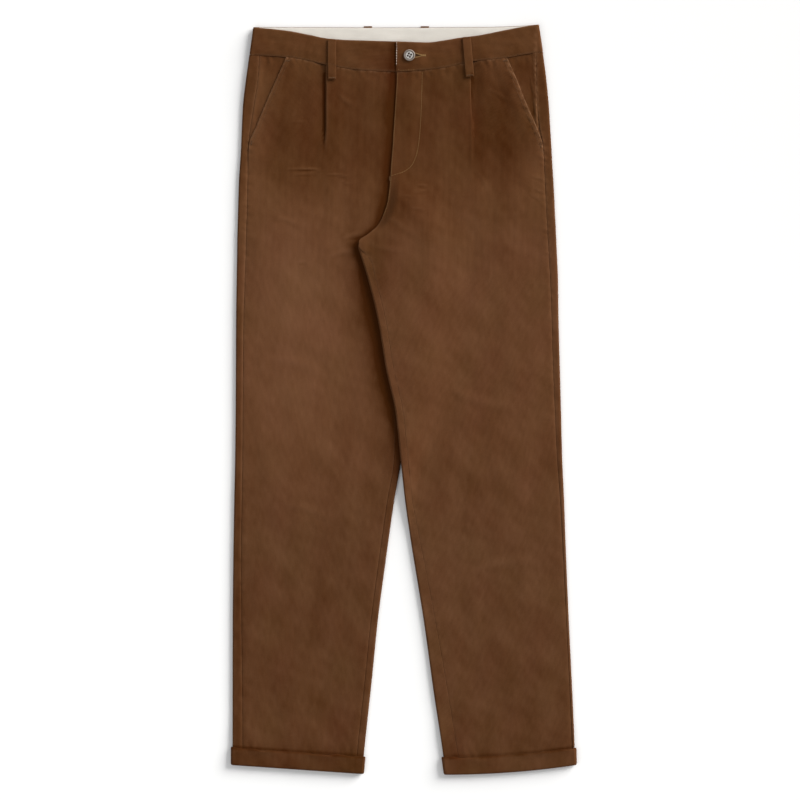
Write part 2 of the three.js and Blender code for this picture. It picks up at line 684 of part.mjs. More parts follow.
const button = piece("button", buttonGeometry(), HORN);
button.position.set(BUTTON.x, BUTTON.y, BUTTON.z);
const shankBottom = BAND_FRONT_Z - BAND_CLOTH / 2 + EXTENSION_CLOTH + SEAM_GAP;
const shankHeight = BUTTON.z - SEAM_GAP - shankBottom;
const shank = piece(
  "button_shank",
  new THREE.CylinderGeometry(1.2, 1.2, shankHeight, 12).rotateX(Math.PI / 2),
  THREAD,
);
shank.position.set(BUTTON.x, BUTTON.y, shankBottom + shankHeight / 2);
trousers.add(button, shank);

export default trousers;
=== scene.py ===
"""Brown needlecord trousers, laid flat on their back under soft studio light.

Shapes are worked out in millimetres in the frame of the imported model: X runs to the wearer's left, Y from
the hems up to the waist, and Z up off the surface. Meshes are written in metres.
"""

import logging
import math
from collections.abc import Callable, Sequence
from dataclasses import dataclass, field
from enum import Enum
from functools import partial
from typing import Any, NamedTuple

import bmesh
import bpy
import numpy as np
from mathutils import Matrix, Vector
from mathutils.bvhtree import BVHTree


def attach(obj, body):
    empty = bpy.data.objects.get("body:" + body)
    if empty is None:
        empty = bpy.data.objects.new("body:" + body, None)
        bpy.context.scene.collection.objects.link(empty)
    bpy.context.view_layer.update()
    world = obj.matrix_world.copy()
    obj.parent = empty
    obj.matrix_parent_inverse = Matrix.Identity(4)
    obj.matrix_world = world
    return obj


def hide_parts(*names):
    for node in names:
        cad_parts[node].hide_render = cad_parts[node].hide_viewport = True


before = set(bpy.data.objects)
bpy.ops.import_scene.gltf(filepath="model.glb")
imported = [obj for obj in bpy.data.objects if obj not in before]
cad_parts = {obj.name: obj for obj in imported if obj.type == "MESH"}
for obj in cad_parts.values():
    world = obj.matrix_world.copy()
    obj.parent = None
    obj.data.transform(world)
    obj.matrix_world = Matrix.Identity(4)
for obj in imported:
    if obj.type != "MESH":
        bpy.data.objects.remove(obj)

Array = np.ndarray
Waistline = Callable[[Array], Array]

MM = 0.001
BODY = "root"
LOG = logging.getLogger("trousers")
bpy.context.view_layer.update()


# --------------------
# Curves and fields


def ease(value: Any, start: float, end: float) -> Any:
    """Rise smoothly from 0 at start to 1 at end.

    Args:
        value: The number or array to read.
        start: Where the rise begins.
        end: Where it is over.

    Returns:
        The risen share, of the same shape as value.
    """
    t = np.clip((value - start) / (end - start), 0.0, 1.0)
    return t * t * (3 - 2 * t)


def blend(a: Any, b: Any, share: Any) -> Any:
    """Go from a to b by a share of the way."""
    return a + (b - a) * share


def bell(distance: Any, width: float) -> Any:
    """Fall softly from 1 to 0 as a distance passes a width."""
    return np.exp(-((distance / width) ** 2))


class Curve:
    """A smooth curve through a table's points that never overshoots them (monotone cubic)."""

    def __init__(self, points: Sequence[tuple[float, float]]) -> None:
        """Work out the tangents.

        Args:
            points: Pairs of place and value, in any order.
        """
        ordered = sorted(points)
        self.at = np.array([p[0] for p in ordered], float)
        self.value = np.array([p[1] for p in ordered], float)
        slope = np.diff(self.value) / np.diff(self.at)
        before, after = slope[:-1], slope[1:]
        total = np.where(before + after == 0, 1.0, before + after)
        inner = np.where(before * after <= 0, 0.0, 2 * before * after / total)
        self.tangent = np.concatenate([[slope[0]], inner, [slope[-1]]])

    def __call__(self, place: Any) -> Any:
        """Read the curve.

        Args:
            place: A number or array, clamped to the curve's ends.

        Returns:
            The values there.
        """
        k = np.clip(place, self.at[0], self.at[-1])
        i = np.clip(np.searchsorted(self.at, k) - 1, 0, len(self.at) - 2)
        h = self.at[i + 1] - self.at[i]
        t = (k - self.at[i]) / h
        rise = ease(t, 0, 1)
        bulge = h * t * (1 - t) * ((1 - t) * self.tangent[i] - t * self.tangent[i + 1])
        return self.value[i] * (1 - rise) + self.value[i + 1] * rise + bulge


@dataclass(frozen=True)
class Ripple:
    """A soft irregular field of waves in every direction, about 1 high either way."""

    length: float
    seed: int
    stretch: float = 1.0
    waves: int = 14

    def __call__(self, x: Any, y: Any) -> Any:
        """Read the field.

        Args:
            x: Places across, in millimetres.
            y: Places along, in millimetres.

        Returns:
            The heights there.
        """
        rng = np.random.default_rng(self.seed)
        turn = rng.uniform(0, math.tau, self.waves)
        pitch = math.tau / self.length * rng.uniform(0.6, 1.5, self.waves)
        phase = rng.uniform(0, math.tau, self.waves)
        total = 0.0
        for a, k, p in zip(turn, pitch, phase):
            total = total + np.sin(k * (np.cos(a) * x + np.sin(a) * y / self.stretch) + p)
        return total / math.sqrt(self.waves / 2)


@dataclass(frozen=True)
class Patch:
    """A soft oval of the cloth: a swell of its surface, or a place where its tone is lighter or darker, from the
    pile's own tone and from painted light and shade.
    """

    x: float
    y: float
    along: float
    across: float
    turn: float
    amount: float

    def __call__(self, x: Any, y: Any) -> Any:
        """Read the patch's amount at some places."""
        a = math.radians(self.turn)
        across = (x - self.x) * math.cos(a) + (y - self.y) * math.sin(a)
        along = (y - self.y) * math.cos(a) - (x - self.x) * math.sin(a)
        return self.amount * np.exp(-(((along / self.along) ** 2 + (across / self.across) ** 2) ** 1.35))


@dataclass(frozen=True)
class Crease:
    """A crease from one point to another: a ridge with a valley on each side, the deeper one on its right.

    bow is how far its middle swings to the left of its line.
    """

    x0: float
    y0: float
    x1: float
    y1: float
    bow: float
    width: float
    depth: float

    def __call__(self, x: Any, y: Any) -> Any:
        """Read the crease's height.

        Args:
            x: Places across, in millimetres.
            y: Places along, in millimetres.

        Returns:
            The heights there, which fade out towards both ends.
        """
        dx, dy = self.x1 - self.x0, self.y1 - self.y0
        length = math.hypot(dx, dy)
        run = ((x - self.x0) * dx + (y - self.y0) * dy) / length**2
        t = np.clip(run, 0, 1)
        side = ((y - self.y0) * dx - (x - self.x0) * dy) / length - 4 * self.bow * t * (1 - t)
        fade = np.sin(math.pi * np.clip(t, 0.001, 0.999)) ** 0.8 * (run == t)
        w = self.width * (0.75 + 0.5 * t)
        ridge = bell(side, w)
        valley = 0.6 * bell(side + 1.5 * w, w) + 0.25 * bell(side - 1.7 * w, w)
        return self.depth * fade * (ridge - valley)


def table(kind: type, *rows: tuple[float, ...]) -> tuple[Any, ...]:
    """Make one thing of a kind from each row."""
    return tuple(kind(*row) for row in rows)


# --------------------
# The garment's cut and how it lies

SECTION = ("y", "edge", "seam", "mouth", "front", "wrap", "inner")
# The tip of the crotch, and where the legs below it begin to run straight.
FORK_Y = 229
STRAIGHT_Y = 178
BUTTON_X, BUTTON_Y = 7.9, 495.4
# Two steps in from an edge that is rounded.
EDGE_STEPS = (0.35, 1.2)


@dataclass
class Leg:
    """One leg as it lies. Distances run outwards: +X on the left leg and -X on the right one.

    edge is the outer fold, seam the outseam, mouth the front panel's outer end, front its inner end, wrap
    the back panel's inner end, and inner the inner fold. pleat is the pleat's fold, pleat_fade the heights
    between which it closes, pleat_shade how much painted shade its slit gets, pleat_wear how rubbed its fold is, and
    mouth_pucker how far the pocket's edge puckers.
    """

    name: str
    sign: int
    pleat: float
    pleat_fade: tuple[float, float]
    pleat_shade: float
    pleat_wear: float
    mouth_pucker: float
    sections: tuple[tuple[float, ...], ...]
    curves: dict[str, Curve] = field(init=False)

    def __post_init__(self) -> None:
        """Draw each column's curve. A row of five has its mouth at its seam and its wrap at its front."""
        rows = [r if len(r) > 5 else (*r[:3], r[2], r[3], r[3], r[4]) for r in self.sections]
        self.curves = {column: Curve([(row[0], row[i]) for row in rows]) for i, column in enumerate(SECTION) if i}

    def at(self, column: str, y: Any) -> Any:
        """Read a column of the leg's table at some heights."""
        return self.curves[column](y)

    def axis(self, y: Any) -> Any:
        """How far the leg's middle has moved outwards below the crotch, which its wales follow."""
        low = np.minimum(y, STRAIGHT_Y)
        moved = self.at("edge", low) + self.at("inner", low)
        return (moved - self.at("edge", STRAIGHT_Y) - self.at("inner", STRAIGHT_Y)) / 2


RIGHT = Leg(
    name="right",
    sign=-1,
    pleat=112.5,
    pleat_fade=(350, 396),
    pleat_shade=0.45,
    pleat_wear=0.5,
    mouth_pucker=0.22,
    sections=(
        (497, 222.5, 208.5, 168, -10, 10.95, 10.95),
        (461, 227.5, 210.5, 184, -9.5, 10.95, 10.95),
        (426, 231.7, 216, 199.5, -8, 10.95, 10.95),
        (393, 233.4, 221, 213, -5, 10.95, 10.95),
        (366, 234.5, 224, 223.5, -2, 10.95, 10.95),
        (338, 236.2, 224.8, 224.8, 6, 10.95, 10.95),
        (317, 237.6, 225.2, 225.2, 16.5, 10.95, 10.95),
        (302, 238.1, 225.5, 225.5, 19, 11.2, 9),
        (287, 238.6, 225.9, 225.9, 20.8, 12.5, 4),
        (271, 239, 226.2, 226.2, 24, 16, -3),
        (252, 239.5, 226.8, 226.8, 32.5, 25.5, -15.5),
        (238, 239.9, 227.2, 227.2, 47.5, 44.5, -23),
        (229, 240.1, 227.5, 227.5, 61.5, 60.5, -27),
        (221, 240.2, 227.6, 61, -29),
        (178, 240.9, 229, 46, -25),
        (115, 241.8, 231, 30, -17.3),
        (43, 242.1, 231.7, 18, -8.5),
        (-16, 242.4, 232.1, 11, -2.5),
        (-89, 243.2, 232.6, 14.3, 4.3),
        (-144, 244.4, 233.4, 23.7, 13.7),
        (-230, 245.8, 234.6, 35.9, 25.9),
        (-317, 246.6, 234, 47.4, 37.4),
        (-403, 246.8, 233, 56.1, 46.1),
        (-490, 246.8, 232.4, 65.5, 55.5),
        (-540, 246.8, 232.2, 70.5, 60.5),
    ),
)
LEFT = Leg(
    name="left",
    sign=1,
    pleat=96,
    pleat_fade=(352, 462),
    pleat_shade=0.22,
    pleat_wear=0.12,
    mouth_pucker=0.4,
    sections=(
        (497, 200.6, 190.5, 146.5, -9.8, -10.6, -10.6),
        (461, 205.2, 190.8, 162.5, -10.6, -10.6, -10.6),
        (426, 208.7, 192, 176.5, -12.6, -10.6, -10.6),
        (393, 210.8, 195.5, 191, -14.8, -10.6, -10.6),
        (366, 212.4, 200.5, 200, -16.4, -10.6, -10.6),
        (338, 214, 202, 202, -18.6, -10.6, -10.6),
        (317, 215.3, 203, 203, -20, -10.6, -10.6),
        (302, 216.1, 203.7, 203.7, -21.4, -10.9, -10.9),
        (287, 216.9, 204.4, 204.4, -23.4, -12.2, -12.2),
        (271, 217.6, 205.3, 205.3, -28, -15.7, -15.7),
        (252, 218.6, 206.4, 206.4, -37, -25.2, -25.2),
        (238, 219.2, 207, 207, -52, -44.2, -44.2),
        (229, 219.7, 207.5, 207.5, -64.5, -60.2, -60.2),
        (221, 220, 208, 208, -65.3, -62.4, -66),
        (210, 220.5, 208.6, -56, -62.9),
        (198, 221.1, 209.3, -47, -59.2),
        (178, 222, 210.5, -42, -53),
        (114, 222.9, 213, -26, -37.3),
        (43, 224.8, 215, -14.5, -25.5),
        (-16, 226.4, 217.5, -1.5, -12.5),
        (-89, 228.3, 221, 6, -4.5),
        (-144, 230.8, 225, 12, 1.5),
        (-202, 232.8, 228, 23, 9.8),
        (-317, 237.6, 234, 45, 28.4),
        (-432, 243.2, 239.3, 65, 44.5),
        (-490, 245.6, 241.5, 74.5, 53.5),
        (-540, 246.8, 242.6, 82, 60.5),
    ),
)

BAND_TOP = Curve(
    [(-222, 536.7), (-168, 531), (-140, 525.9), (-109, 519.8), (-84, 517.9), (-68, 517.3), (-10, 515.5)]
    + [(33, 514.2), (53, 516.4), (80, 520.9), (104, 523.8), (146, 532), (174, 537.2), (201, 541)]
)
WAIST_SEAM = Curve(
    [(-222, 496.4), (-168, 492.8), (-140, 488.4), (-109, 481.2), (-84, 476.8), (-68, 474.9), (-10, 472)]
    + [(33, 474.8), (53, 477.2), (80, 482.6), (104, 487.4), (146, 491.8), (174, 497), (201, 500.7)]
)
BACK_TOP = Curve([(-222, 536.7), (-10, 536), (110, 536.6), (160, 538), (201, 541)])

# The largest soft swells and hollows of the front: x, y, along, across, turn, height.
SWELLS = table(
    Patch,
    (-150, 190, 150, 55, 8, 0.7),
    (-160, -60, 190, 50, -3, 0.5),
    (-140, -330, 160, 45, -12, -0.5),
    (-165, 395, 60, 22, 15, 0.6),
    (-60, 300, 90, 28, -8, -0.6),
    (-40, 420, 50, 22, 0, 0.4),
    (120, 150, 170, 55, -10, 0.6),
    (60, 250, 70, 30, 20, -0.15),
    (135, 390, 75, 28, 5, -0.6),
    (140, -110, 190, 50, -6, 0.5),
    (170, -350, 150, 45, 4, 0.5),
    (95, -390, 110, 26, 12, -0.5),
)

# Creases of the front: from x, y to x, y, then bow, width and depth.
FRONT_CREASES = table(
    Crease,
    (-170, 333, -119, 331, 1.5, 1.6, 1.1),
    (-166, 326.5, -122, 327.5, -1.0, 1.5, 0.7),
    (-112, 325, -80, 322, 1, 1.7, 0.6),
    (-92, 316, -74, 311, -1, 1.8, 0.35),
    (-156, 199, -133, 196, 0.8, 2.0, 0.4),
    (-97, 446, -70, 424, -3, 3.4, 0.45),
    (-165, 402, -136, 398, 1.5, 2.0, 0.35),
    (-185, 262, -150, 250, 3, 3.2, 0.3),
    (-92, 230, -52, 238, 4, 3.4, 0.4),
    (-110, 205, -64, 214, 4, 4.2, 0.35),
    (18, 310, 37, 307, 0.5, 2.0, 0.5),
    (12, 300, 38, 304.5, -1.2, 2.1, 0.45),
    (-2, 294, 12, 292.5, 0.4, 1.9, 0.3),
    (10, 276, 30, 274, 0.6, 2.2, 0.35),
    (-30, 262, 8, 240, 5, 3.6, 0.2),
    (-52, 226, 10, 218, -5, 4.2, 0.2),
    (-18, 252, 30, 222, 6, 4.0, 0.15),
    (100, 458, 98, 326, -1.5, 2.4, 0.25),
    (181, 322, 203, 317, 1, 1.8, 0.5),
    (186, 306, 204, 299, -1, 1.8, 0.5),
    (180, 297, 200, 285, 1, 2.0, 0.35),
    (98, 334, 124, 292, 5, 3.4, 0.16),
    (128, 268, 186, 280, -6, 4.6, 0.12),
    (150, 320, 188, 300, 4, 3.6, 0.12),
    (120, 448, 150, 430, 2, 2.4, 0.3),
    (187, 436, 191, 380, 2, 2.0, 0.7),
    (183, 468, 189, 436, -1, 1.8, 0.5),
    (-198, 60, -120, 40, 6, 6.0, 0.3),
    (60, 20, 160, -8, -8, 7.0, 0.3),
    (-180, -150, -90, -178, 6, 6.5, 0.28),
    (90, -250, 190, -232, 7, 7.0, 0.28),
)
# Creases of the back, which lies on the surface.
BACK_CREASES = table(
    Crease,
    (-170, 260, -60, 235, 9, 5.0, 1.0),
    (-150, 225, -40, 262, -8, 4.5, 0.8),
    (40, 262, 150, 230, 9, 5.0, 0.9),
    (70, 226, 170, 262, -7, 4.5, 0.7),
    (-190, 20, -90, -5, 6, 6.0, 0.8),
    (80, -20, 180, 8, -6, 6.0, 0.8),
    (-200, -60, -120, -44, -5, 5.0, 0.6),
    (-120, -300, -200, -330, 6, 7.0, 0.6),
    (110, -320, 210, -300, 6, 7.0, 0.6),
    (-60, 430, -20, 380, 5, 5.0, 0.5),
    (150, 440, 110, 380, 6, 5.0, 0.5),
)


@dataclass
class Lay:
    """How the layers of the garment lie: its named sizes, and the heights that follow from them."""

    cloth: float = 1.4
    band_cloth: float = 2.4
    tab_cloth: float = 1.6
    lining_cloth: float = 1.0
    gap: float = 0.3
    seam_gap: float = 0.1
    leg_loft: float = 4.0
    step: float = 0.9
    waist_y: float = 472.0
    band_height: float = 40.0
    band_front_z: float = 7.3
    band_back_z: float = 2.9
    waist_lift: float = 1.7
    fly_lap_x: float = 14.0
    fly_lap_rise: float = 1.9
    centre_back_x: float = -10.8
    overlap_rise: float = 6.2
    overlap_ramp: float = 30.0
    upper_ramp: float = 74.0
    pleat_step: float = 1.7
    pleat_rise: float = 1.2
    pleat_depth: float = 17.0
    pleat_root: float = 335.0
    pleat_tuck: float = 0.8
    pleat_run: float = 22.0
    hem_y: float = -536.0
    cuff_lift: float = 2.5
    hem_loft: float = 2.2
    hem_end: float = 2.6
    hem_rise: tuple[float, float] = (456.0, 484.0)
    overlap_end: tuple[float, float] = (-335.0, -287.0)
    waist_rows: float = 370.0
    hem_rows: float = 380.0

    def upper(self, y: Any) -> Any:
        """The height of the middle of a leg's upper wall."""
        hem = (self.cuff_lift + self.hem_loft - self.leg_loft) * ease(-y, *self.hem_rise)
        return self.cloth / 2 + self.leg_loft + self.waist_lift * ease(y, 389, 475) + hem

    def lower(self, y: Any) -> Any:
        """The height of the middle of a leg's lower wall."""
        hem = self.cuff_lift * ease(-y, *self.hem_rise)
        return self.cloth / 2 + self.waist_lift * ease(y, 430, 476) + hem

    def reach(self, y: Any) -> Any:
        """Where the left leg has to start down off the right one under it."""
        return 3 - RIGHT.at("inner", y)

    def lifted(self, leg: Leg, x: Any, y: Any, ramp: Any) -> Any:
        """How far a leg is raised by the other one under it.

        Args:
            leg: The leg. Only the left one is raised.
            x: Places across.
            y: Places along.
            ramp: The run over which it comes down again.

        Returns:
            The heights to add.
        """
        if leg is RIGHT:
            return 0.0 * x
        down = ease((x - self.reach(y)) / ramp, 0, 1)
        return self.overlap_rise * ease(-y, *self.overlap_end) * (1 - down)

    def front_height(self, leg: Leg, u: Any, y: Any) -> Any:
        """The front panel's height away from its pleat.

        Args:
            leg: The leg.
            u: Distances outwards.
            y: Heights up the garment.

        Returns:
            The heights of the middle of the wall: raised over the pocket's facing, lapped at the fly, and
            brought down to the crotch seam where the left panel is sewn to the right one.
        """
        x = leg.sign * u
        over_pocket = ease(y, 330, 354) * (1 - ease(leg.at("mouth", y) - u, 14, 32))
        above_crotch = ease(y, 230, 256)
        height = self.upper(y) + self.step * over_pocket
        if leg is RIGHT:
            lap = LEFT.at("front", y)
            height = height - self.step * above_crotch * ease(x - lap, -15, -3)
        else:
            under = -RIGHT.at("front", y)
            height = height + (self.step + 0.1) * above_crotch * (1 - ease(x - under, 2, 18))
            sewn_down = above_crotch * (1 - ease(u - leg.at("front", y), 0, 16))
            ramp = blend(self.overlap_ramp, self.upper_ramp, ease(y, -110, 20))
            height = height + self.lifted(leg, x, y, ramp) * (1 - sewn_down)
        clear = ease(u - leg.at("front", y), 8, 40) * ease(leg.at("mouth", y) - u, 4, 30)
        clear = clear * (1 - ease(y, 430, 465)) * ease(y, -470, -430)
        if leg is RIGHT:
            covered = 2 - LEFT.at("inner", np.minimum(y, FORK_Y))
            clear = clear * ease((u - covered) / (110 - covered), 0, 1)
        return height + sum(swell(x, y) for swell in SWELLS) * clear

    def hem_fold(self, leg: Leg, x: Any) -> Any:
        """The fold of a turned-up hem."""
        across = (leg.sign * x - 60) / 188
        return -539 + 13 * across if leg is RIGHT else -540 + 14 * across * across

    def back_waist(self, x: Any) -> Any:
        """The waist seam of the back."""
        return BACK_TOP(x) - self.band_height - self.gap

    def row_y(self, leg: Leg, u: Any, row: float, waistline: Waistline) -> Any:
        """Where a panel's row runs.

        Args:
            leg: The leg.
            u: Distances outwards.
            row: The row, named by its height at the fly.
            waistline: The seam that its top end is sewn to.

        Returns:
            The heights up the garment.
        """
        waist = (waistline(leg.sign * u) - self.waist_y) * ease(row, self.waist_rows, self.waist_y)
        fold = self.hem_fold(leg, leg.sign * u) + self.hem_end
        return row + waist + (fold - self.hem_y) * ease(-row, self.hem_rows, -self.hem_y)

    def meet(self, leg: Leg, column: str, row: float, waistline: Waistline) -> float:
        """Where a row meets one of its leg's curves."""
        u = float(leg.at(column, row))
        for _ in range(4):
            u = float(leg.at(column, self.row_y(leg, u, row, waistline)))
        return u

    def seam_rub(self, row: float) -> float:
        """How rubbed a row's seams are, least at the shins."""
        return 0.25 + 0.75 * ease(row, -330, -60)

    def below_pocket(self, row: float) -> float:
        """How far a row is below the pocket, where the outseam's two sides are sewn together."""
        return 1 - ease(row, 345, 362)

    def flush(self, row: float) -> float:
        """How flush a row's inseam lies, below the crotch."""
        return ease(-row, -214, -206)


LAY = Lay()


@dataclass(frozen=True)
class Relief:
    """The small unevenness that every layer of the upper side shares, so that layers never cross."""

    broad: Ripple = Ripple(95, 3, stretch=1.8)
    middle: Ripple = Ripple(34, 5, stretch=1.5)
    fine: Ripple = Ripple(13, 8)
    along_seam: Ripple = Ripple(11, 12)

    def upper(self, leg: Leg, x: Any, y: Any) -> Any:
        """The height that creases, puckers and slack add to the upper side.

        Args:
            leg: The leg whose seams pucker.
            x: Places across.
            y: Places along.

        Returns:
            Heights in millimetres.
        """
        u = leg.sign * x
        inside = ease(leg.at("edge", y) - u, 0, 10) * ease(u - leg.at("inner", y), -2, 9)
        slack = 0.16 * self.broad(x, y) + 0.08 * self.middle(x, y) + 0.035 * self.fine(x, y)
        creases = sum(crease(x, y) for crease in FRONT_CREASES)
        pull = self.along_seam(x * 0.5, y)
        outseam = 0.24 * pull * bell(u - leg.at("seam", y), 6)
        inseam = 0.2 * pull * bell(u - leg.at("front", y), 6) * ease(-y, -240, -200)
        mouth = leg.mouth_pucker * pull * bell(u - leg.at("mouth", y) + 5, 6) * ease(y, 340, 370)
        waist = 0.3 * self.along_seam(y * 0.6, x) * bell(y - WAIST_SEAM(x) + 5, 7)
        hem = 0.12 * self.along_seam(y * 0.7, x) * bell(y - LAY.hem_fold(leg, x) - 30, 9)
        return inside * (slack + creases + outseam + inseam + mouth + waist + hem)

    def under(self, x: Any, y: Any) -> Any:
        """How far slack lifts the lower side off the surface, never under it."""
        raised = 0.45 * self.broad(x + 300, y) + 0.2 * self.middle(x, y + 90)
        raised = raised + sum(crease(x, y) for crease in BACK_CREASES)
        return np.clip(raised, 0, 1.6) * ease(-np.abs(y + 10), -470, -400)


RELIEF = Relief()

# Soft patches of lighter or darker tone, partly the pile's own patchy tone and partly painted light and shade over
# the swells, hollows and edges: x, y, along, across, turn, amount.
TONE_AND_SHADE_PATCHES = table(
    Patch,
    (136, 374, 58, 33, 8, -0.15),
    (118, 305, 12, 15, 20, 0.07),
    (192, 303, 22, 12, 0, 0.09),
    (168, 478, 10, 9, 0, -0.12),
    (-204, 462, 26, 4, 0, 0.1),
    # Painted shadow along the side fold of the band's right half.
    (-221, 517, 20, 2.4, -6, -0.3),
    (4, 292, 36, 22, 0, -0.17),
    (-46, 226, 24, 14, -16, -0.13),
    (-214, 331, 55, 14, 0, 0.2),
    (-208, 404, 40, 13, 0, 0.17),
    (-210, 442, 42, 10, -8, 0.08),
    (-38, 288, 22, 10, 0, -0.1),
    (62, -520, 14, 16, 0, 0.08),
    (160, -173, 14, 14, 0, -0.05),
    (-214, -120, 120, 13, 0, -0.1),
    (-138, 318, 36, 26, 0, -0.08),
    (-99, 396, 34, 15, 0, -0.07),
    (40, 270, 30, 46, 0, -0.06),
    (184, 337, 24, 20, 0, 0.17),
    (103, 374, 42, 14, 0, -0.085),
    (160, 458, 12, 12, 0, -0.12),
    (217, -300, 28, 14, 0, -0.15),
    (131, 288, 14, 14, 0, 0.08),
    (50, 115, 18, 26, 0, -0.075),
    (-186, 172, 20, 18, 0, 0.06),
    (100, -75, 50, 20, 0, 0.05),
    (-110, -375, 20, 34, 0, 0.05),
    (-186, -375, 14, 14, 0, -0.06),
    (-150, -490, 10, 70, 0, 0.03),
    (118, 309, 8, 9, 10, 0.1),
    (-158, 372, 62, 40, -10, -0.07),
    (-142, 300, 36, 26, 0, -0.05),
    (-150, 150, 170, 46, 4, 0.13),
    (-175, 40, 120, 30, 0, 0.05),
    (-60, 300, 80, 30, -12, -0.05),
    (-38, 180, 90, 22, -14, -0.12),
    (-95, 400, 60, 14, 0, -0.04),
    (90, 120, 150, 40, -6, 0.04),
    (60, 380, 50, 26, 0, 0.03),
    (-30, 420, 40, 16, 0, -0.05),
    (6, 420, 60, 12, 0, -0.04),
    (-239, -40, 440, 7, 0, -0.23),
    (233, 100, 330, 6, -3, -0.11),
    (150, 512, 14, 60, 0, 0.08),
    (175, 250, 60, 18, 0, 0.07),
    (190, 300, 50, 12, 0, 0.04),
    (100, -60, 120, 30, 10, -0.04),
    (170, 0, 160, 24, 0, 0.04),
    (-200, -120, 170, 24, 0, 0.05),
    (-120, -280, 120, 30, -8, -0.04),
    (150, -330, 130, 34, 8, -0.05),
)
# The cloth's tone down each leg: height up the garment, tone.
TONE_RIGHT = Curve(
    [(560, 0.86), (500, 0.85), (450, 0.81), (350, 0.82), (280, 0.99), (150, 1.06), (0, 1.05)]
    + [(-120, 0.98), (-260, 0.89), (-425, 0.85), (-490, 0.82), (-520, 0.73), (-545, 0.69)]
)
TONE_LEFT = Curve(
    [(560, 0.87), (500, 0.84), (450, 0.78), (350, 0.82), (280, 0.93), (150, 1.0), (0, 0.97)]
    + [(-120, 0.94), (-260, 0.96), (-425, 0.885), (-500, 0.83), (-545, 0.80)]
)
MOTTLE = Ripple(46, 21, stretch=1.4)
SPOTS = Ripple(15, 23, stretch=1.5)
WARMTH = Ripple(70, 27, stretch=1.6)
PUCKER = Ripple(12, 29)
CROTCH = Patch(-46, 205, 55, 20, -14, 1.0)


def nap(leg: Leg, x: Any, y: Any, wear: Any) -> Array:
    """The cloth's tone at some places: the pile's own, with painted shade and painted light laid over it.

    Args:
        leg: The leg that the cloth belongs to.
        x: Places across.
        y: Places along.
        wear: How rubbed the pile is, from 0 to 1.

    Returns:
        Rows of tone, warmth, wear and 1, for the cloth's tone attribute.
    """
    tone = (TONE_RIGHT if leg is RIGHT else TONE_LEFT)(y)
    tone = tone + sum(patch(x, y) for patch in TONE_AND_SHADE_PATCHES) + 0.03 * MOTTLE(x, y) + 0.02 * SPOTS(x, y)
    # Painted light on the creases' ridges and painted shade in their valleys.
    tone = tone + 0.3 * sum(crease(x, y) for crease in FRONT_CREASES)
    # Painted shadow on the right leg beside the left leg's fly and inner edge, which lie over it.
    if leg is RIGHT:
        lap = np.where(y > FORK_Y, LEFT.at("front", y), LEFT.at("inner", y))
        away = np.maximum(lap - x, 0)
        tone = tone - (0.2 + 0.3 * ease(y, -90, -20)) * bell(away, 11)
        tone = tone - 0.2 * bell(away, 30) * ease(-y, -330, -60)
        tone = tone - 0.32 * bell(away, 23) * ease(y, -40, 20) * (1 - ease(y, STRAIGHT_Y, 200))
    # Painted shade in each pleat's slit, and a fainter, wider painted shade beside its fold.
    fold = leg.sign * x - leg.pleat
    below_band = 1 - ease(y, 468, 472)
    slit = leg.pleat_shade * bell(fold - 2.3, 2.0) * ease(y, *leg.pleat_fade) * below_band
    tone = tone - slit - 0.05 * bell(fold - 9, 9) * ease(y, 330, 360) * below_band
    tone = tone + 0.03 * MOTTLE(x + 70, y) * ease(y, 230, 330)
    # Painted shade in the gap over each cuff's top edge, and faintly above it.
    above_hem = y - LAY.hem_fold(leg, x)
    tone = tone - 0.32 * bell(above_hem - 25.6, 1.7) - 0.02 * bell(above_hem - 31, 6)
    # Painted highlight on the puckered ridges beside the left pocket's mouth and outseam.
    if leg is LEFT:
        u = leg.sign * x
        beside_mouth = bell(u - leg.at("mouth", y) + 1.5, 3.4) * ease(y, 352, 372) * (y < 489)
        beside_seam = bell(u - leg.at("seam", y) + 0.5, 3.0) * ease(y, 392, 410)
        tone = tone + (beside_mouth + beside_seam) * (0.19 + 0.15 * PUCKER(x * 1.4, y))
    warmth = 0.5 + 0.16 * WARMTH(x, y) + (0.5 * CROTCH(x, y) if leg is LEFT else 0.0)
    return np.stack(np.broadcast_arrays(tone, warmth, wear, 1.0), axis=-1)


# --------------------
# Materials


class Socket:
    """A node's output that takes part in Python arithmetic by adding Math nodes."""

    def __init__(self, graph: "Graph", link: bpy.types.NodeSocket) -> None:
        """Wrap an output of a graph's node."""
        self.graph = graph
        self.link = link

    def _math(self, operation: str, *values: Any) -> "Socket":
        """Add a Math node on these values."""
        return self.graph.node("ShaderNodeMath", {"operation": operation}, dict(enumerate(values)))

    def __add__(self, other: Any) -> "Socket":
        """Add."""
        return self._math("ADD", self, other)

    def __sub__(self, other: Any) -> "Socket":
        """Subtract."""
        return self._math("SUBTRACT", self, other)

    def __rsub__(self, other: Any) -> "Socket":
        """Subtract from a number."""
        return self._math("SUBTRACT", other, self)

    def __mul__(self, other: Any) -> "Socket":
        """Multiply."""
        return self._math("MULTIPLY", self, other)

    def __truediv__(self, other: Any) -> "Socket":
        """Divide."""
        return self._math("DIVIDE", self, other)

    def __pow__(self, other: Any) -> "Socket":
        """Raise to a power."""
        return self._math("POWER", self, other)

    __radd__ = __add__
    __rmul__ = __mul__

    def clamped(self) -> "Socket":
        """Keep within 0 and 1."""
        return self._math("MINIMUM", self._math("MAXIMUM", self, 0.0), 1.0)

    def cosine(self) -> "Socket":
        """Take the cosine."""
        return self._math("COSINE", self)


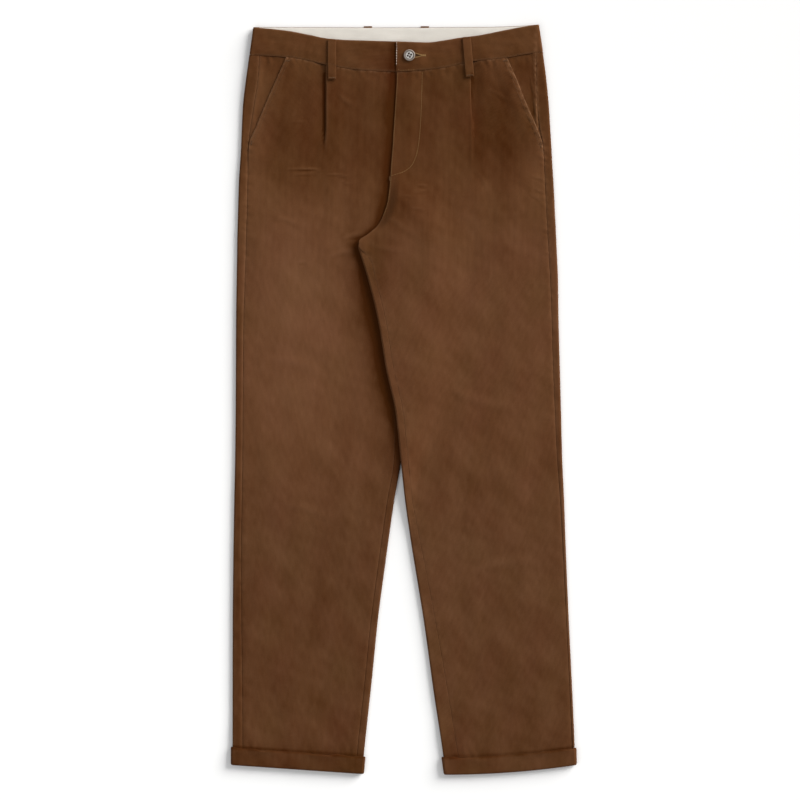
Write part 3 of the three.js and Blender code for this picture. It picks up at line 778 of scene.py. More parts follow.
class Graph:
    """A material's nodes."""

    def __init__(self, name: str) -> None:
        """Start a material.

        Args:
            name: The material's name.
        """
        self.material = bpy.data.materials.new(name)
        self.material.use_nodes = True
        self.tree = self.material.node_tree
        self.tree.nodes.clear()

    def node(
        self,
        kind: str,
        settings: dict[str, Any] | None = None,
        inputs: dict[Any, Any] | None = None,
        output: str | int = 0,
    ) -> Socket:
        """Add a node.

        Args:
            kind: The node's type.
            settings: Its properties, set first.
            inputs: Values or links by socket name or number.
            output: The output to hand back.

        Returns:
            That output, wrapped.
        """
        made = self.tree.nodes.new(kind)
        for key, value in (settings or {}).items():
            setattr(made, key, value)
        for key, value in (inputs or {}).items():
            if isinstance(value, Socket):
                self.tree.links.new(value.link, made.inputs[key])
            else:
                made.inputs[key].default_value = value
        return Socket(self, made.outputs[output])

    def mix(self, a: Any, b: Any, share: Any, how: str = "MIX") -> Socket:
        """Mix two colours.

        Args:
            a: The first colour, a tuple or a link.
            b: The second colour.
            share: How much of the second, a number or a link.
            how: The Mix node's blend type.

        Returns:
            The mixed colour.
        """
        rgba = [(*c, 1.0) if isinstance(c, tuple) and len(c) == 3 else c for c in (a, b)]
        return self.node(
            "ShaderNodeMix", {"data_type": "RGBA", "blend_type": how}, {0: share, 6: rgba[0], 7: rgba[1]}, 2
        )

    def place(self) -> Socket:
        """Read the place on the garment, in metres."""
        return self.node("ShaderNodeTexCoord", {}, {}, "Object")

    def grain(self) -> Socket:
        """Read the place in the flat cloth, in metres across and along its wales."""
        return self.node("ShaderNodeUVMap", {"uv_map": "grain"})

    def separate(self, vector: Socket) -> tuple[Socket, Socket, Socket]:
        """Split a vector into its three parts."""
        made = self.node("ShaderNodeSeparateXYZ", {}, {0: vector})
        return tuple(Socket(self, out) for out in made.link.node.outputs)

    def noise(
        self, vector: Socket, scale: tuple[float, float, float], detail: float, roughness: float = 0.5
    ) -> Socket:
        """Add a noise whose grain is stretched.

        Args:
            vector: The coordinates in metres.
            scale: Cycles to a metre along each axis.
            detail: Octaves.
            roughness: How strong the finer octaves are.

        Returns:
            The noise, from 0 to 1.
        """
        place = self.node("ShaderNodeMapping", {}, {"Vector": vector, "Scale": scale})
        return self.node(
            "ShaderNodeTexNoise", {}, {"Vector": place, "Scale": 1.0, "Detail": detail, "Roughness": roughness}
        )

    def finish(
        self, principled: dict[str, Any], height: Socket, distance: float, strength: float
    ) -> bpy.types.Material:
        """Close the graph with a bumped surface.

        Args:
            principled: The surface shader's inputs.
            height: The relief, from 0 to 1.
            distance: The relief's depth in metres.
            strength: The bump's strength.

        Returns:
            The material.
        """
        bump = self.node(
            "ShaderNodeBump", {}, {"Strength": strength, "Distance": distance, "Height": height}, "Normal"
        )
        surface = self.node("ShaderNodeBsdfPrincipled", {}, {**principled, "Normal": bump})
        out = self.tree.nodes.new("ShaderNodeOutputMaterial")
        self.tree.links.new(surface.link, out.inputs["Surface"])
        return self.material


Colour = tuple[float, float, float]


@dataclass(frozen=True)
class Corduroy:
    """Needlecord: fine lengthwise wales of cut pile on a woven base, with painted shade in the valleys between them.
    """

    name: str = "brown_needlecord"
    slot: str = "corduroy"
    deep: Colour = (0.0489, 0.0118, 0.0010)
    pale: Colour = (0.1583, 0.0682, 0.0322)
    dark_tint: Colour = (1.0, 1.0, 0.84)
    seat_tint: Colour = (1.0, 1.0, 0.92)
    shin_tint: Colour = (0.98, 1.03, 1.08)
    deep_tone: float = 0.6
    pale_tone: float = 1.4
    ochre: Colour = (0.0005, 0.0032, 0.0006)
    russet: Colour = (0.0032, -0.0004, 0.0010)
    worn: Colour = (0.24, 0.125, 0.065)
    # The colour of the valleys between the wales: the woven base, darkened with painted shade.
    ground: Colour = (0.022, 0.0065, 0.0016)
    wale: float = 0.0017
    relief: float = 0.00042
    bump: float = 0.38

    def build(self) -> bpy.types.Material:
        """Make the material from the grain map and the tone attribute, whose tone carries painted light and shade
        besides the pile's own.
        """
        g = Graph(self.name)
        grain = g.grain()
        place = g.place()
        tones_read = g.node("ShaderNodeAttribute", {"attribute_name": "nap"}, {}, "Color")
        tone, warmth, wear = g.separate(tones_read)
        across = g.separate(grain)[0]
        wobble = g.noise(grain, (60, 14, 1), 1.0) - 0.5
        ridge = ((across / self.wale + wobble * 0.9) * math.tau).cosine() * 0.5 + 0.5
        tufts = g.noise(grain, (900, 2600, 1), 2.0, 0.7)
        streak = g.noise(grain, (190, 20, 1), 3.0, 0.6)
        mottle = g.noise(place, (17, 12, 17), 5.0, 0.6)
        speck = g.noise(place, (420, 330, 420), 2.0, 0.6)
        hue = g.mix(self.russet, self.ochre, (warmth * 0.75 + mottle * 0.7 - 0.22).clamped())
        light = tone + 0.12 * (streak - 0.5) + 0.22 * (mottle - 0.5) + 0.12 * (speck - 0.5) + 0.05
        share = ((light - self.deep_tone) / (self.pale_tone - self.deep_tone)).clamped()
        lit = g.mix(g.mix(self.deep, self.pale, share), hue, 1.0, "ADD")
        lit = g.mix(lit, self.dark_tint, 1 - share, "MULTIPLY")
        height = g.separate(place)[1]
        lit = g.mix(lit, self.seat_tint, ((height - 0.22) / 0.1).clamped(), "MULTIPLY")
        lit = g.mix(lit, self.shin_tint, ((-0.06 - height) / 0.15).clamped(), "MULTIPLY")
        # The valleys between the wales take that colour: the base showing, with painted shade.
        valley = (1 - ridge ** 0.55) * (0.45 + 0.35 * tufts)
        colour = g.mix(lit, self.ground, valley.clamped() * 0.3)
        rubbed = (wear * (0.35 + 0.9 * tufts) * (0.4 + 0.8 * ridge)).clamped()
        colour = g.mix(colour, self.worn, rubbed * 0.55)
        return g.finish(
            {
                "Base Color": colour,
                "Roughness": (0.93 - 0.12 * rubbed).clamped(),
                "Specular IOR Level": 0.06,
                "Sheen Weight": 0.1,
                "Sheen Roughness": 0.45,
                "Sheen Tint": (0.55, 0.33, 0.18, 1.0),
            },
            ridge ** 0.6 * 0.82 + tufts * 0.18,
            self.relief,
            self.bump,
        )


@dataclass(frozen=True)
class Cotton:
    """The plain-woven cream cotton of the waistband's lining."""

    name: str = "cream_cotton"
    slot: str = "cotton"
    cream: Colour = (0.67, 0.63, 0.57)
    shade: Colour = (0.46, 0.43, 0.39)
    thread: float = 0.0006
    relief: float = 0.0002
    bump: float = 0.45

    def build(self) -> bpy.types.Material:
        """Make the material from the grain map."""
        g = Graph(self.name)
        grain = g.grain()
        place = g.place()
        across, along, _ = g.separate(grain)
        warp = (across / self.thread * math.tau).cosine()
        weft = (along / self.thread * math.tau).cosine()
        weave = warp * weft * 0.5 + 0.5
        slub = g.noise(grain, (90, 700, 1), 3.0, 0.6)
        cloud = g.noise(place, (34, 60, 34), 4.0, 0.55)
        colour = g.mix(self.shade, self.cream, (0.45 + 0.5 * cloud + 0.2 * slub + 0.1 * weave).clamped())
        return g.finish(
            {"Base Color": colour, "Roughness": 0.88, "Specular IOR Level": 0.25, "Sheen Weight": 0.1},
            weave * 0.6 + slub * 0.4,
            self.relief,
            self.bump,
        )


@dataclass(frozen=True)
class Thread:
    """Twisted sewing thread of one colour."""

    name: str
    colour: Colour
    slot: str = "thread"
    ply: float = 0.00055
    relief: float = 0.00008
    bump: float = 0.5

    def build(self) -> bpy.types.Material:
        """Make the material with its twist."""
        g = Graph(self.name)
        place = g.place()
        x, y, z = g.separate(place)
        twist = ((x + y) / self.ply * math.tau + z * 9000).cosine() * 0.5 + 0.5
        fuzz = g.noise(place, (1500, 1500, 1500), 2.0, 0.6)
        dark = tuple(c * 0.62 for c in self.colour)
        colour = g.mix(dark, self.colour, (twist * 0.6 + fuzz * 0.6).clamped())
        return g.finish(
            {"Base Color": colour, "Roughness": 0.8, "Specular IOR Level": 0.12}, twist, self.relief, self.bump
        )


@dataclass(frozen=True)
class Horn:
    """The button's grey horn-like resin, streaked and softly polished, with a browner, darker rim that is partly its
    own tone and partly painted shade, and painted shade in the groove inside the rim and down the holes.
    """

    name: str = "horn"
    slot: str = "button"
    pale: Colour = (0.58, 0.55, 0.52)
    dark: Colour = (0.26, 0.235, 0.215)
    # The rim's colours, browner and darker than the face: partly the rim's own tone and partly painted shade.
    rim: Colour = (0.29, 0.235, 0.19)
    rim_shade_dark: Colour = (0.09, 0.072, 0.06)
    centre: Colour = (0.0079, 0.4954, 0.0127)
    rim_start: float = 0.0057
    # Radii of a painted dark ring of shade in the groove inside the rim.
    ring: tuple[float, float] = (0.0053, 0.0064)
    # Painted shade down the holes, and the height below which it is painted.
    well: Colour = (0.02, 0.015, 0.012)
    hole_shade_top: float = 0.0129
    relief: float = 0.00004
    bump: float = 0.4

    def build(self) -> bpy.types.Material:
        """Make the material with its clouds and fine scratches."""
        g = Graph(self.name)
        place = g.place()
        warp = g.noise(place, (160, 160, 160), 3.0, 0.6)
        cloud = g.noise(place, (260, 130, 200), 4.0, 0.65)
        scratch = g.noise(place, (2400, 260, 400), 2.0, 0.7)
        streaks = (cloud * 1.5 - 0.35 + 0.4 * warp).clamped()
        away = g.node("ShaderNodeVectorMath", {"operation": "DISTANCE"}, {0: place, 1: self.centre}, "Value")
        outer = ((away - self.rim_start) / 0.0006).clamped()
        # The rim takes its browner colours, darkened with painted shade.
        colour = g.mix(g.mix(self.dark, self.pale, streaks), g.mix(self.rim_shade_dark, self.rim, streaks), outer)
        # Painted shade down the holes.
        sunk = ((self.hole_shade_top - g.separate(place)[2]) / 0.0004).clamped() * (1 - outer)
        # Painted dark ring of shade in the groove inside the rim.
        ring = ((away - self.ring[0]) / 0.0003).clamped() * ((self.ring[1] - away) / 0.0003).clamped()
        colour = g.mix(colour, self.rim_shade_dark, ring * 0.85)
        colour = g.mix(colour, self.well, sunk)
        return g.finish(
            {
                "Base Color": colour,
                "Roughness": (0.4 + 0.2 * scratch).clamped(),
                "Specular IOR Level": 0.5,
                "Coat Roughness": 0.25,
            },
            scratch,
            self.relief,
            self.bump,
        )


@dataclass(frozen=True)
class PaintedFloor:
    """The studio's pale matte floor."""

    name: str = "studio_floor"
    colour: Colour = (0.92, 0.92, 0.92)

    def build(self) -> bpy.types.Material:
        """Make the material."""
        g = Graph(self.name)
        place = g.place()
        grain = g.noise(place, (300, 300, 300), 2.0)
        return g.finish(
            {"Base Color": (*self.colour, 1.0), "Roughness": 0.9, "Specular IOR Level": 0.1}, grain, 0.00005, 0.1
        )


class Finish(Enum):
    """The finishes that pieces are given."""

    CORDUROY = Corduroy()
    COTTON = Cotton()
    HORN = Horn()
    BROWN_THREAD = Thread("brown_thread", (0.12, 0.058, 0.026))
    GOLD_THREAD = Thread("gold_thread", (0.31, 0.18, 0.068))
    CREAM_THREAD = Thread("cream_thread", (0.95, 0.82, 0.71))
    GREY_THREAD = Thread("grey_thread", (0.5, 0.47, 0.43))
    FLOOR = PaintedFloor()

    def material(self) -> bpy.types.Material:
        """Hand back the finish's material, made the first time it is asked for."""
        return bpy.data.materials.get(self.value.name) or self.value.build()


class Hold(Enum):
    """How a sheet of cloth is held."""

    LAID = "laid"
    FOLDED = "folded"


# --------------------
# Pieces


def settle(piece: bpy.types.Object, finish: Finish, *nodes: str) -> bpy.types.Object:
    """Give a piece its finish and its place in the model.

    Args:
        piece: The piece.
        finish: Its finish.
        nodes: The solids that it stands for.

    Returns:
        The piece.
    """
    piece.data.materials.clear()
    piece.data.materials.append(finish.material())
    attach(piece, BODY)
    if nodes:
        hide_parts(*nodes)
    LOG.info("%s: %d faces, %s", piece.name, len(piece.data.polygons), finish.value.name)
    return piece


def link(made: bpy.types.Object) -> bpy.types.Object:
    """Put an object into the scene."""
    bpy.context.scene.collection.objects.link(made)
    return made


def mesh_object(name: str, bm: bmesh.types.BMesh, smooth: bool = True) -> bpy.types.Object:
    """Turn a bmesh into a linked object at the origin.

    Args:
        name: The object's name.
        bm: The bmesh in metres, which is freed.
        smooth: Whether faces are shaded smooth.

    Returns:
        The object.
    """
    mesh = bpy.data.meshes.new(name)
    bm.to_mesh(mesh)
    bm.free()
    mesh.polygons.foreach_set("use_smooth", np.full(len(mesh.polygons), smooth))
    return link(bpy.data.objects.new(name, mesh))


def face_outwards(bm: bmesh.types.BMesh) -> None:
    """Turn every face of a closed shape outwards."""
    bmesh.ops.recalc_face_normals(bm, faces=bm.faces[:])
    if bm.calc_volume(signed=True) < 0:
        bmesh.ops.reverse_faces(bm, faces=bm.faces[:])


def write_tones(mesh: bpy.types.Mesh, pile: Array) -> None:
    """Write each vertex's tone, warmth, wear and 1 as the cloth's tone attribute, whose tone carries painted light
    and shade besides the pile's own.
    """
    colour = mesh.attributes.new("nap", "FLOAT_COLOR", "POINT")
    colour.data.foreach_set("color", pile.astype(np.float32).ravel())


def write_cloth_maps(made: bpy.types.Object, ids: Array, grain: Array, pile: Array) -> None:
    """Write the grain map and the tone attribute of a piece.

    Args:
        made: The piece.
        ids: For each vertex, the point of the cloth that it belongs to.
        grain: Each point's place in the flat cloth in millimetres, across and along its wales.
        pile: Each point's tone, warmth, wear and 1.
    """
    mesh = made.data
    corners = np.zeros(len(mesh.loops), np.int64)
    mesh.loops.foreach_get("vertex_index", corners)
    uv = mesh.uv_layers.new(name="grain")
    uv.data.foreach_set("uv", (grain[ids[corners]] * MM).astype(np.float32).ravel())
    write_tones(mesh, pile[ids])


def numbered_grid(bm: bmesh.types.BMesh, rows: int, columns: int) -> bmesh.types.BMLayerItem:
    """Make a flat grid whose vertices know which point of a rows by columns array they are.

    Args:
        bm: The bmesh to fill.
        rows: Points along.
        columns: Points across.

    Returns:
        The layer that holds each vertex's number.
    """
    bmesh.ops.create_grid(bm, x_segments=columns - 1, y_segments=rows - 1, size=1.0)
    layer = bm.verts.layers.int.new("point")
    for v in bm.verts:
        column = round((v.co.x + 1) / 2 * (columns - 1))
        row = round((v.co.y + 1) / 2 * (rows - 1))
        v[layer] = row * columns + column
    return layer


def shell(name: str, middle: Array, half: Array, grain: Array, pile: Array) -> bpy.types.Object:
    """Make a thin closed wall of cloth round a middle surface.

    Args:
        name: The piece's name.
        middle: Points of the middle surface, rows by columns by 3, in millimetres.
        half: Half of the wall's thickness at each point.
        grain: Each point's place in the flat cloth, rows by columns by 2.
        pile: Each point's tone, warmth, wear and 1, rows by columns by 4.

    Returns:
        The object.
    """
    rows, columns = middle.shape[:2]
    normal = np.cross(np.gradient(middle, axis=1), np.gradient(middle, axis=0))
    normal /= np.maximum(np.linalg.norm(normal, axis=2, keepdims=True), 1e-9)
    offset = normal * half[..., None]
    outer = (middle + offset).reshape(-1, 3) * MM
    inner = (middle - offset).reshape(-1, 3) * MM
    bm = bmesh.new()
    layer = numbered_grid(bm, rows, columns)
    first = bm.faces[:]
    made = bmesh.ops.extrude_face_region(bm, geom=first, use_keep_orig=True)
    fresh = {v for v in made["geom"] if isinstance(v, bmesh.types.BMVert)}
    for v in bm.verts:
        v.co = Vector((inner if v in fresh else outer)[v[layer]])
    bmesh.ops.reverse_faces(bm, faces=[f for f in first if f.is_valid])
    face_outwards(bm)
    ids = np.array([v[layer] for v in bm.verts])
    piece = mesh_object(name, bm)
    write_cloth_maps(piece, ids, grain.reshape(-1, 2), pile.reshape(-1, 4))
    return piece


# How full the wall is beside a seam whose two sides lie flush.
FLUSH = np.array((0.86, 0.97, 1.0))


def rim(count: int, ends: tuple[bool, bool] = (True, True)) -> Array:
    """How full a wall is near its cut or folded edges, which are rounded.

    Args:
        count: Points across the wall.
        ends: Whether the first and the last end are rounded.

    Returns:
        The share of the thickness at each point.
    """
    full = np.ones(count)
    for i, share in enumerate((0.42, 0.8, 0.95)):
        if ends[0]:
            full[i] = share
        if ends[1]:
            full[-1 - i] = share
    return full


def stations(start: float, end: float, count: int, ends: tuple[bool, bool] = (False, False)) -> Array:
    """Space places evenly, with two more close beside each end that is rounded.

    Args:
        start: The first place.
        end: The last one.
        count: How many there are.
        ends: Whether the first and the last end are rounded.

    Returns:
        The places from start to end.
    """
    near, far = (math.copysign(step, end - start) for step in EDGE_STEPS)
    head = [start, start + near, start + far] if ends[0] else [start]
    tail = [end - far, end - near, end] if ends[1] else [end]
    middle = np.linspace(head[-1], tail[0], count - len(head) - len(tail) + 2)[1:-1]
    return np.concatenate([head, middle, tail])


def half_turn(edge: float, start: float, end: float, outwards: int, steps: int) -> tuple[Array, Array]:
    """Half a turn of cloth round a fold.

    Args:
        edge: The fold's outermost point.
        start: The height of the middle of the wall where the turn begins.
        end: The height where it ends.
        outwards: 1 if it bulges outwards, or -1.
        steps: Points along the turn.

    Returns:
        Distances outwards and heights.
    """
    radius = abs(end - start) / 2
    centre = edge - outwards * (radius + LAY.cloth / 2)
    angle = np.linspace(0, math.pi, steps)
    return centre + outwards * radius * np.sin(angle), (start + end) / 2 + (start - end) / 2 * np.cos(angle)


def arc_length(u: Array, z: Array) -> Array:
    """The distance along a section from its first point."""
    return np.concatenate([[0.0], np.cumsum(np.hypot(np.diff(u), np.diff(z)))])


def row_numbers(above: float = 2.6, below: float = 3.8, change: float = 205.0) -> Array:
    """Number the panels' rows from the waist to the hem.

    Args:
        above: The step between rows down to the crotch.
        below: The step between rows down the legs.
        change: Where the step changes.

    Returns:
        The rows, each named by its height at the fly.
    """
    rows = [LAY.waist_y, *(LAY.waist_y - step for step in EDGE_STEPS)]
    while rows[-1] > LAY.hem_y + below:
        rows.append(rows[-1] - (above if rows[-1] > change else below))
    return np.array(rows[:-1] + [LAY.hem_y])


class Row(NamedTuple):
    """The points of one row of a panel, with distances outwards, up the garment and off the surface."""

    outwards: Array
    upwards: Array
    height: Array
    grain: Array
    wear: Array
    fullness: Array


@dataclass
class Panel:
    """What the front and back panels and the pocket facings share."""

    leg: Leg
    flat: tuple[float, float]
    area: float
    rows: Array = field(default_factory=row_numbers)

    def join(self, sections: Sequence[Row], node: str, rests_on: str) -> bpy.types.Object:
        """Join rows into a wall and dress it.

        Args:
            sections: The rows from the waist down.
            node: The solid that the wall stands for.
            rests_on: What lies under it. Not used.

        Returns:
            The panel.
        """
        u, y, z, grain, wear, full = (np.array(column) for column in zip(*sections))
        x = self.leg.sign * u
        flat_place = np.stack([self.leg.sign * (grain - self.leg.axis(y)), y], axis=-1)
        middle = np.stack([x, y, z], axis=-1)
        made = shell(node + "_panel", middle, LAY.cloth / 2 * full, flat_place, nap(self.leg, x, y, wear))
        settle(made, Finish.CORDUROY, node)
        return made


@dataclass
class FrontPanel(Panel):
    """A front panel: the fly or crotch edge, a pleat, the pocket mouth and the outseam."""

    inner_count: int = 46
    outer_count: int = 36
    turn_count: int = 9

    def section(self, row: float) -> Row:
        """Work out one row.

        Args:
            row: The row, named by its height at the fly.

        Returns:
            The row's points.
        """
        leg, lay = self.leg, LAY
        inner = lay.meet(leg, "front", row, WAIST_SEAM) + lay.seam_gap * ease(-row, -229, -221)
        seam = lay.meet(leg, "seam", row, WAIST_SEAM)
        mouth = lay.meet(leg, "mouth", row, WAIST_SEAM)
        outer = min(mouth, seam - lay.seam_gap)
        y_at = partial(lay.row_y, leg, row=row, waistline=WAIST_SEAM)

        def flat(u: Any) -> Any:
            """The panel's height with no pleat."""
            return lay.front_height(leg, u, y_at(u))

        radius = lay.pleat_step / 2
        end = leg.pleat - radius - lay.cloth / 2
        open_from = leg.pleat + lay.pleat_run
        depth = max(2.0, lay.pleat_depth * (row - lay.pleat_root) / (lay.waist_y - lay.pleat_root))
        near = stations(inner, end, self.inner_count, (True, False))
        far = stations(open_from, outer, self.outer_count, (False, True))
        beyond = leg.pleat + np.linspace(-1, 19, 7)

        def raised(u: Any) -> Any:
            """The panel's height where it rises to its pleat."""
            return flat(u) + lay.pleat_rise * (1 - ease(leg.pleat - u, 2, 30))

        top = float(raised(np.array(leg.pleat)))
        over = half_turn(leg.pleat, top, top - lay.pleat_step, 1, self.turn_count)
        under_edge = end - depth - radius - lay.cloth / 2
        under = half_turn(under_edge, top - lay.pleat_step, top - 2 * lay.pleat_step, -1, self.turn_count)
        risen = ease(beyond, leg.pleat - 1, open_from)
        folded_u = np.concatenate([near, over[0][1:], under[0], beyond, far])
        folded_z = np.concatenate(
            [raised(near), over[1][1:], under[1], blend(top - 2 * lay.pleat_step, flat(beyond), risen), flat(far)]
        )
        tuck = np.concatenate(
            [
                0 * near,
                lay.pleat_tuck * ease(np.linspace(0, 1, self.turn_count - 1), 0.2, 1),
                np.full(self.turn_count, lay.pleat_tuck),
                lay.pleat_tuck * (1 - risen),
                0 * far,
            ]
        )
        between = len(folded_u) - len(near) - len(far)
        smooth_u = np.concatenate([near, np.linspace(end, open_from, between + 2)[1:-1], far])
        share = ease(row, *leg.pleat_fade)
        u = blend(smooth_u, folded_u, share)
        z = blend(flat(smooth_u), folded_z, share)
        y = y_at(u) - tuck * share
        grain = arc_length(u, z)
        grain += end - grain[len(near) - 1]
        x = leg.sign * u
        edge_in, edge_out = u - inner, outer - u
        z = z + RELIEF.upper(leg, x, y)
        z = z - 0.3 * bell(edge_out, 2) * lay.below_pocket(row)
        z = z - 0.12 * bell(edge_in, 2) * ease(-row, -200, -150)
        if leg is LEFT:
            lapped = ease(-row, -234, -225) * (1 - ease(-row, -218, -208))
            z = z + 1.2 * lapped * (1 - ease(edge_in, 5, 16))
        on_fold = np.arange(len(u)) < len(near) + 5
        fold_wear = leg.pleat_wear * share * bell(u - leg.pleat, 2.2) * on_fold
        rubbed = 0.4 + 0.25 * RELIEF.fine(x * 3, y) if leg is RIGHT else 0.45 + 0.6 * RELIEF.fine(x * 5, 2 * y)
        pocket_wear = ease(row, 340, 362) * (rubbed * bell(edge_out, 2.4) + 0.12 * bell(edge_out, 9))
        seam_wear = 0.22 * bell(edge_out, 2.2) + 0.2 * bell(edge_in, 2.2)
        wear = fold_wear + pocket_wear + seam_wear * lay.seam_rub(row)
        wear = wear + (0.35 + 0.3 * RELIEF.fine(x * 2, y)) * bell(lay.waist_y - row, 1.6)
        full = rim(len(u))
        if leg is LEFT:
            full[:3] = blend(full[:3], FLUSH, lay.flush(row))
        return Row(u, y, z, grain, wear, full)

    def build(self) -> bpy.types.Object:
        """Make the panel."""
        sections = [self.section(float(row)) for row in self.rows]
        return self.join(sections, f"front_{self.leg.name}", f"back_{self.leg.name}_panel")


@dataclass
class BackPanel(Panel):
    """A back panel, on the surface and round both folds to the seams on the upper side."""

    fold_start: float = 317.0
    fold_full: float = 287.0
    wall_count: int = 62
    turn_count: int = 9

    def section(self, row: float) -> Row:
        """Work out one row.

        Args:
            row: The row, named by its height at the fly.

        Returns:
            The row's points.
        """
        leg, lay = self.leg, LAY
        front_y = partial(lay.row_y, leg, row=row, waistline=WAIST_SEAM)
        y_at = partial(lay.row_y, leg, row=row, waistline=lay.back_waist)

        def low(u: Any) -> Any:
            """The lower wall's height."""
            return lay.lower(y_at(u)) + lay.lifted(leg, leg.sign * u, y_at(u), lay.overlap_ramp)

        def high(u: Any) -> Any:
            """The upper wall's height."""
            return lay.upper(y_at(u)) + lay.lifted(leg, leg.sign * u, y_at(u), lay.overlap_ramp)

        seam, edge, inner, wrap = (
            lay.meet(leg, column, row, lay.back_waist) for column in ("seam", "edge", "inner", "wrap")
        )
        strip = stations(seam, edge - 3.2, 8, (True, False))
        outer = half_turn(edge, float(high(np.array(edge))), float(low(np.array(edge))), 1, self.turn_count)
        wall = np.linspace(edge - 5, inner + 10, self.wall_count)
        if leg is LEFT:
            wrap = max(lay.meet(leg, "front", row, lay.back_waist) - lay.seam_gap, inner + 4.2)
        turn = half_turn(inner, float(low(np.array(inner))), float(high(np.array(inner))), -1, self.turn_count)
        back = stations(float(turn[0][-1]), wrap, 16, (False, True))[1:]
        turned_u = np.concatenate([turn[0], back])
        turned_z = np.concatenate([turn[1], high(back)])
        flat_u = np.linspace(inner + 9, inner, len(turned_u))
        curl = ease(-row, -self.fold_start, -self.fold_full)
        end_u, end_z = blend(flat_u, turned_u, curl), blend(low(flat_u), turned_z, curl)
        u = np.concatenate([strip, outer[0], wall, end_u])
        z = np.concatenate([high(strip), outer[1], low(wall), end_z])
        first = len(strip) + self.turn_count // 2
        y = np.concatenate([front_y(u[:first]), y_at(u[first:])])
        x = leg.sign * u
        grain = arc_length(u, z)
        grain = edge - 5 - (grain - grain[len(strip) + self.turn_count])
        level = np.clip((z - low(u)) / np.maximum(high(u) - low(u), 0.5), 0, 1)
        z = z + level * RELIEF.upper(leg, x, y) + (1 - level) * RELIEF.under(x, y)
        z = z - 0.3 * bell(u - seam, 2) * level * lay.below_pocket(row)
        seam_wear = 0.3 * bell(u - seam, 2.4) * level * lay.seam_rub(row)
        wear = seam_wear + 0.12 * bell(edge - u, 2.5)
        full = rim(len(u))
        if leg is LEFT:
            full[-3:] = blend(full[-3:], FLUSH[::-1], lay.flush(row))
            full[:3] = blend(full[:3], FLUSH, 0.8 * ease(row, 352, 366))
        return Row(u, y, z, grain, wear, full)

    def build(self) -> bpy.types.Object:
        """Make the panel."""
        return self.join([self.section(float(row)) for row in self.rows], f"back_{self.leg.name}", "floor")


@dataclass
class PocketFacing(Panel):
    """The piece that shows between a slanted pocket mouth and the outseam."""

    lowest: float = 352.0

    def section(self, row: float) -> Row:
        """Work out one row.

        Args:
            row: The row, named by its height at the fly.

        Returns:
            The row's points.
        """
        leg, lay = self.leg, LAY
        seam = lay.meet(leg, "seam", row, WAIST_SEAM) - lay.seam_gap
        mouth = lay.meet(leg, "mouth", row, WAIST_SEAM)
        tucked = 1 - ease(seam - mouth, 4, 14)
        u = stations(mouth - 12, seam, 30, (True, True))
        y = lay.row_y(leg, u, row, WAIST_SEAM)
        z = lay.upper(y) - lay.step * np.maximum(ease(seam - u, 0, 8), tucked)
        z = z + RELIEF.upper(leg, leg.sign * u, y) - 0.15 * bell(seam - u, 1.6)
        rubbed = 0.4 if leg is RIGHT else 0.45 + 0.55 * RELIEF.fine(5 * u, 2 * y)
        wear = rubbed * bell(seam - u, 2.6)
        full = rim(len(u))
        if leg is LEFT:
            full[-3:] = blend(full[-3:], FLUSH[::-1], 0.8)
        return Row(u, y, z, u, wear, full)

    def build(self) -> bpy.types.Object:
        """Make the facing."""
        sections = [self.section(float(row)) for row in self.rows if row >= self.lowest]
        return self.join(sections, f"pocket_facing_{self.leg.name}", f"back_{self.leg.name}_panel")


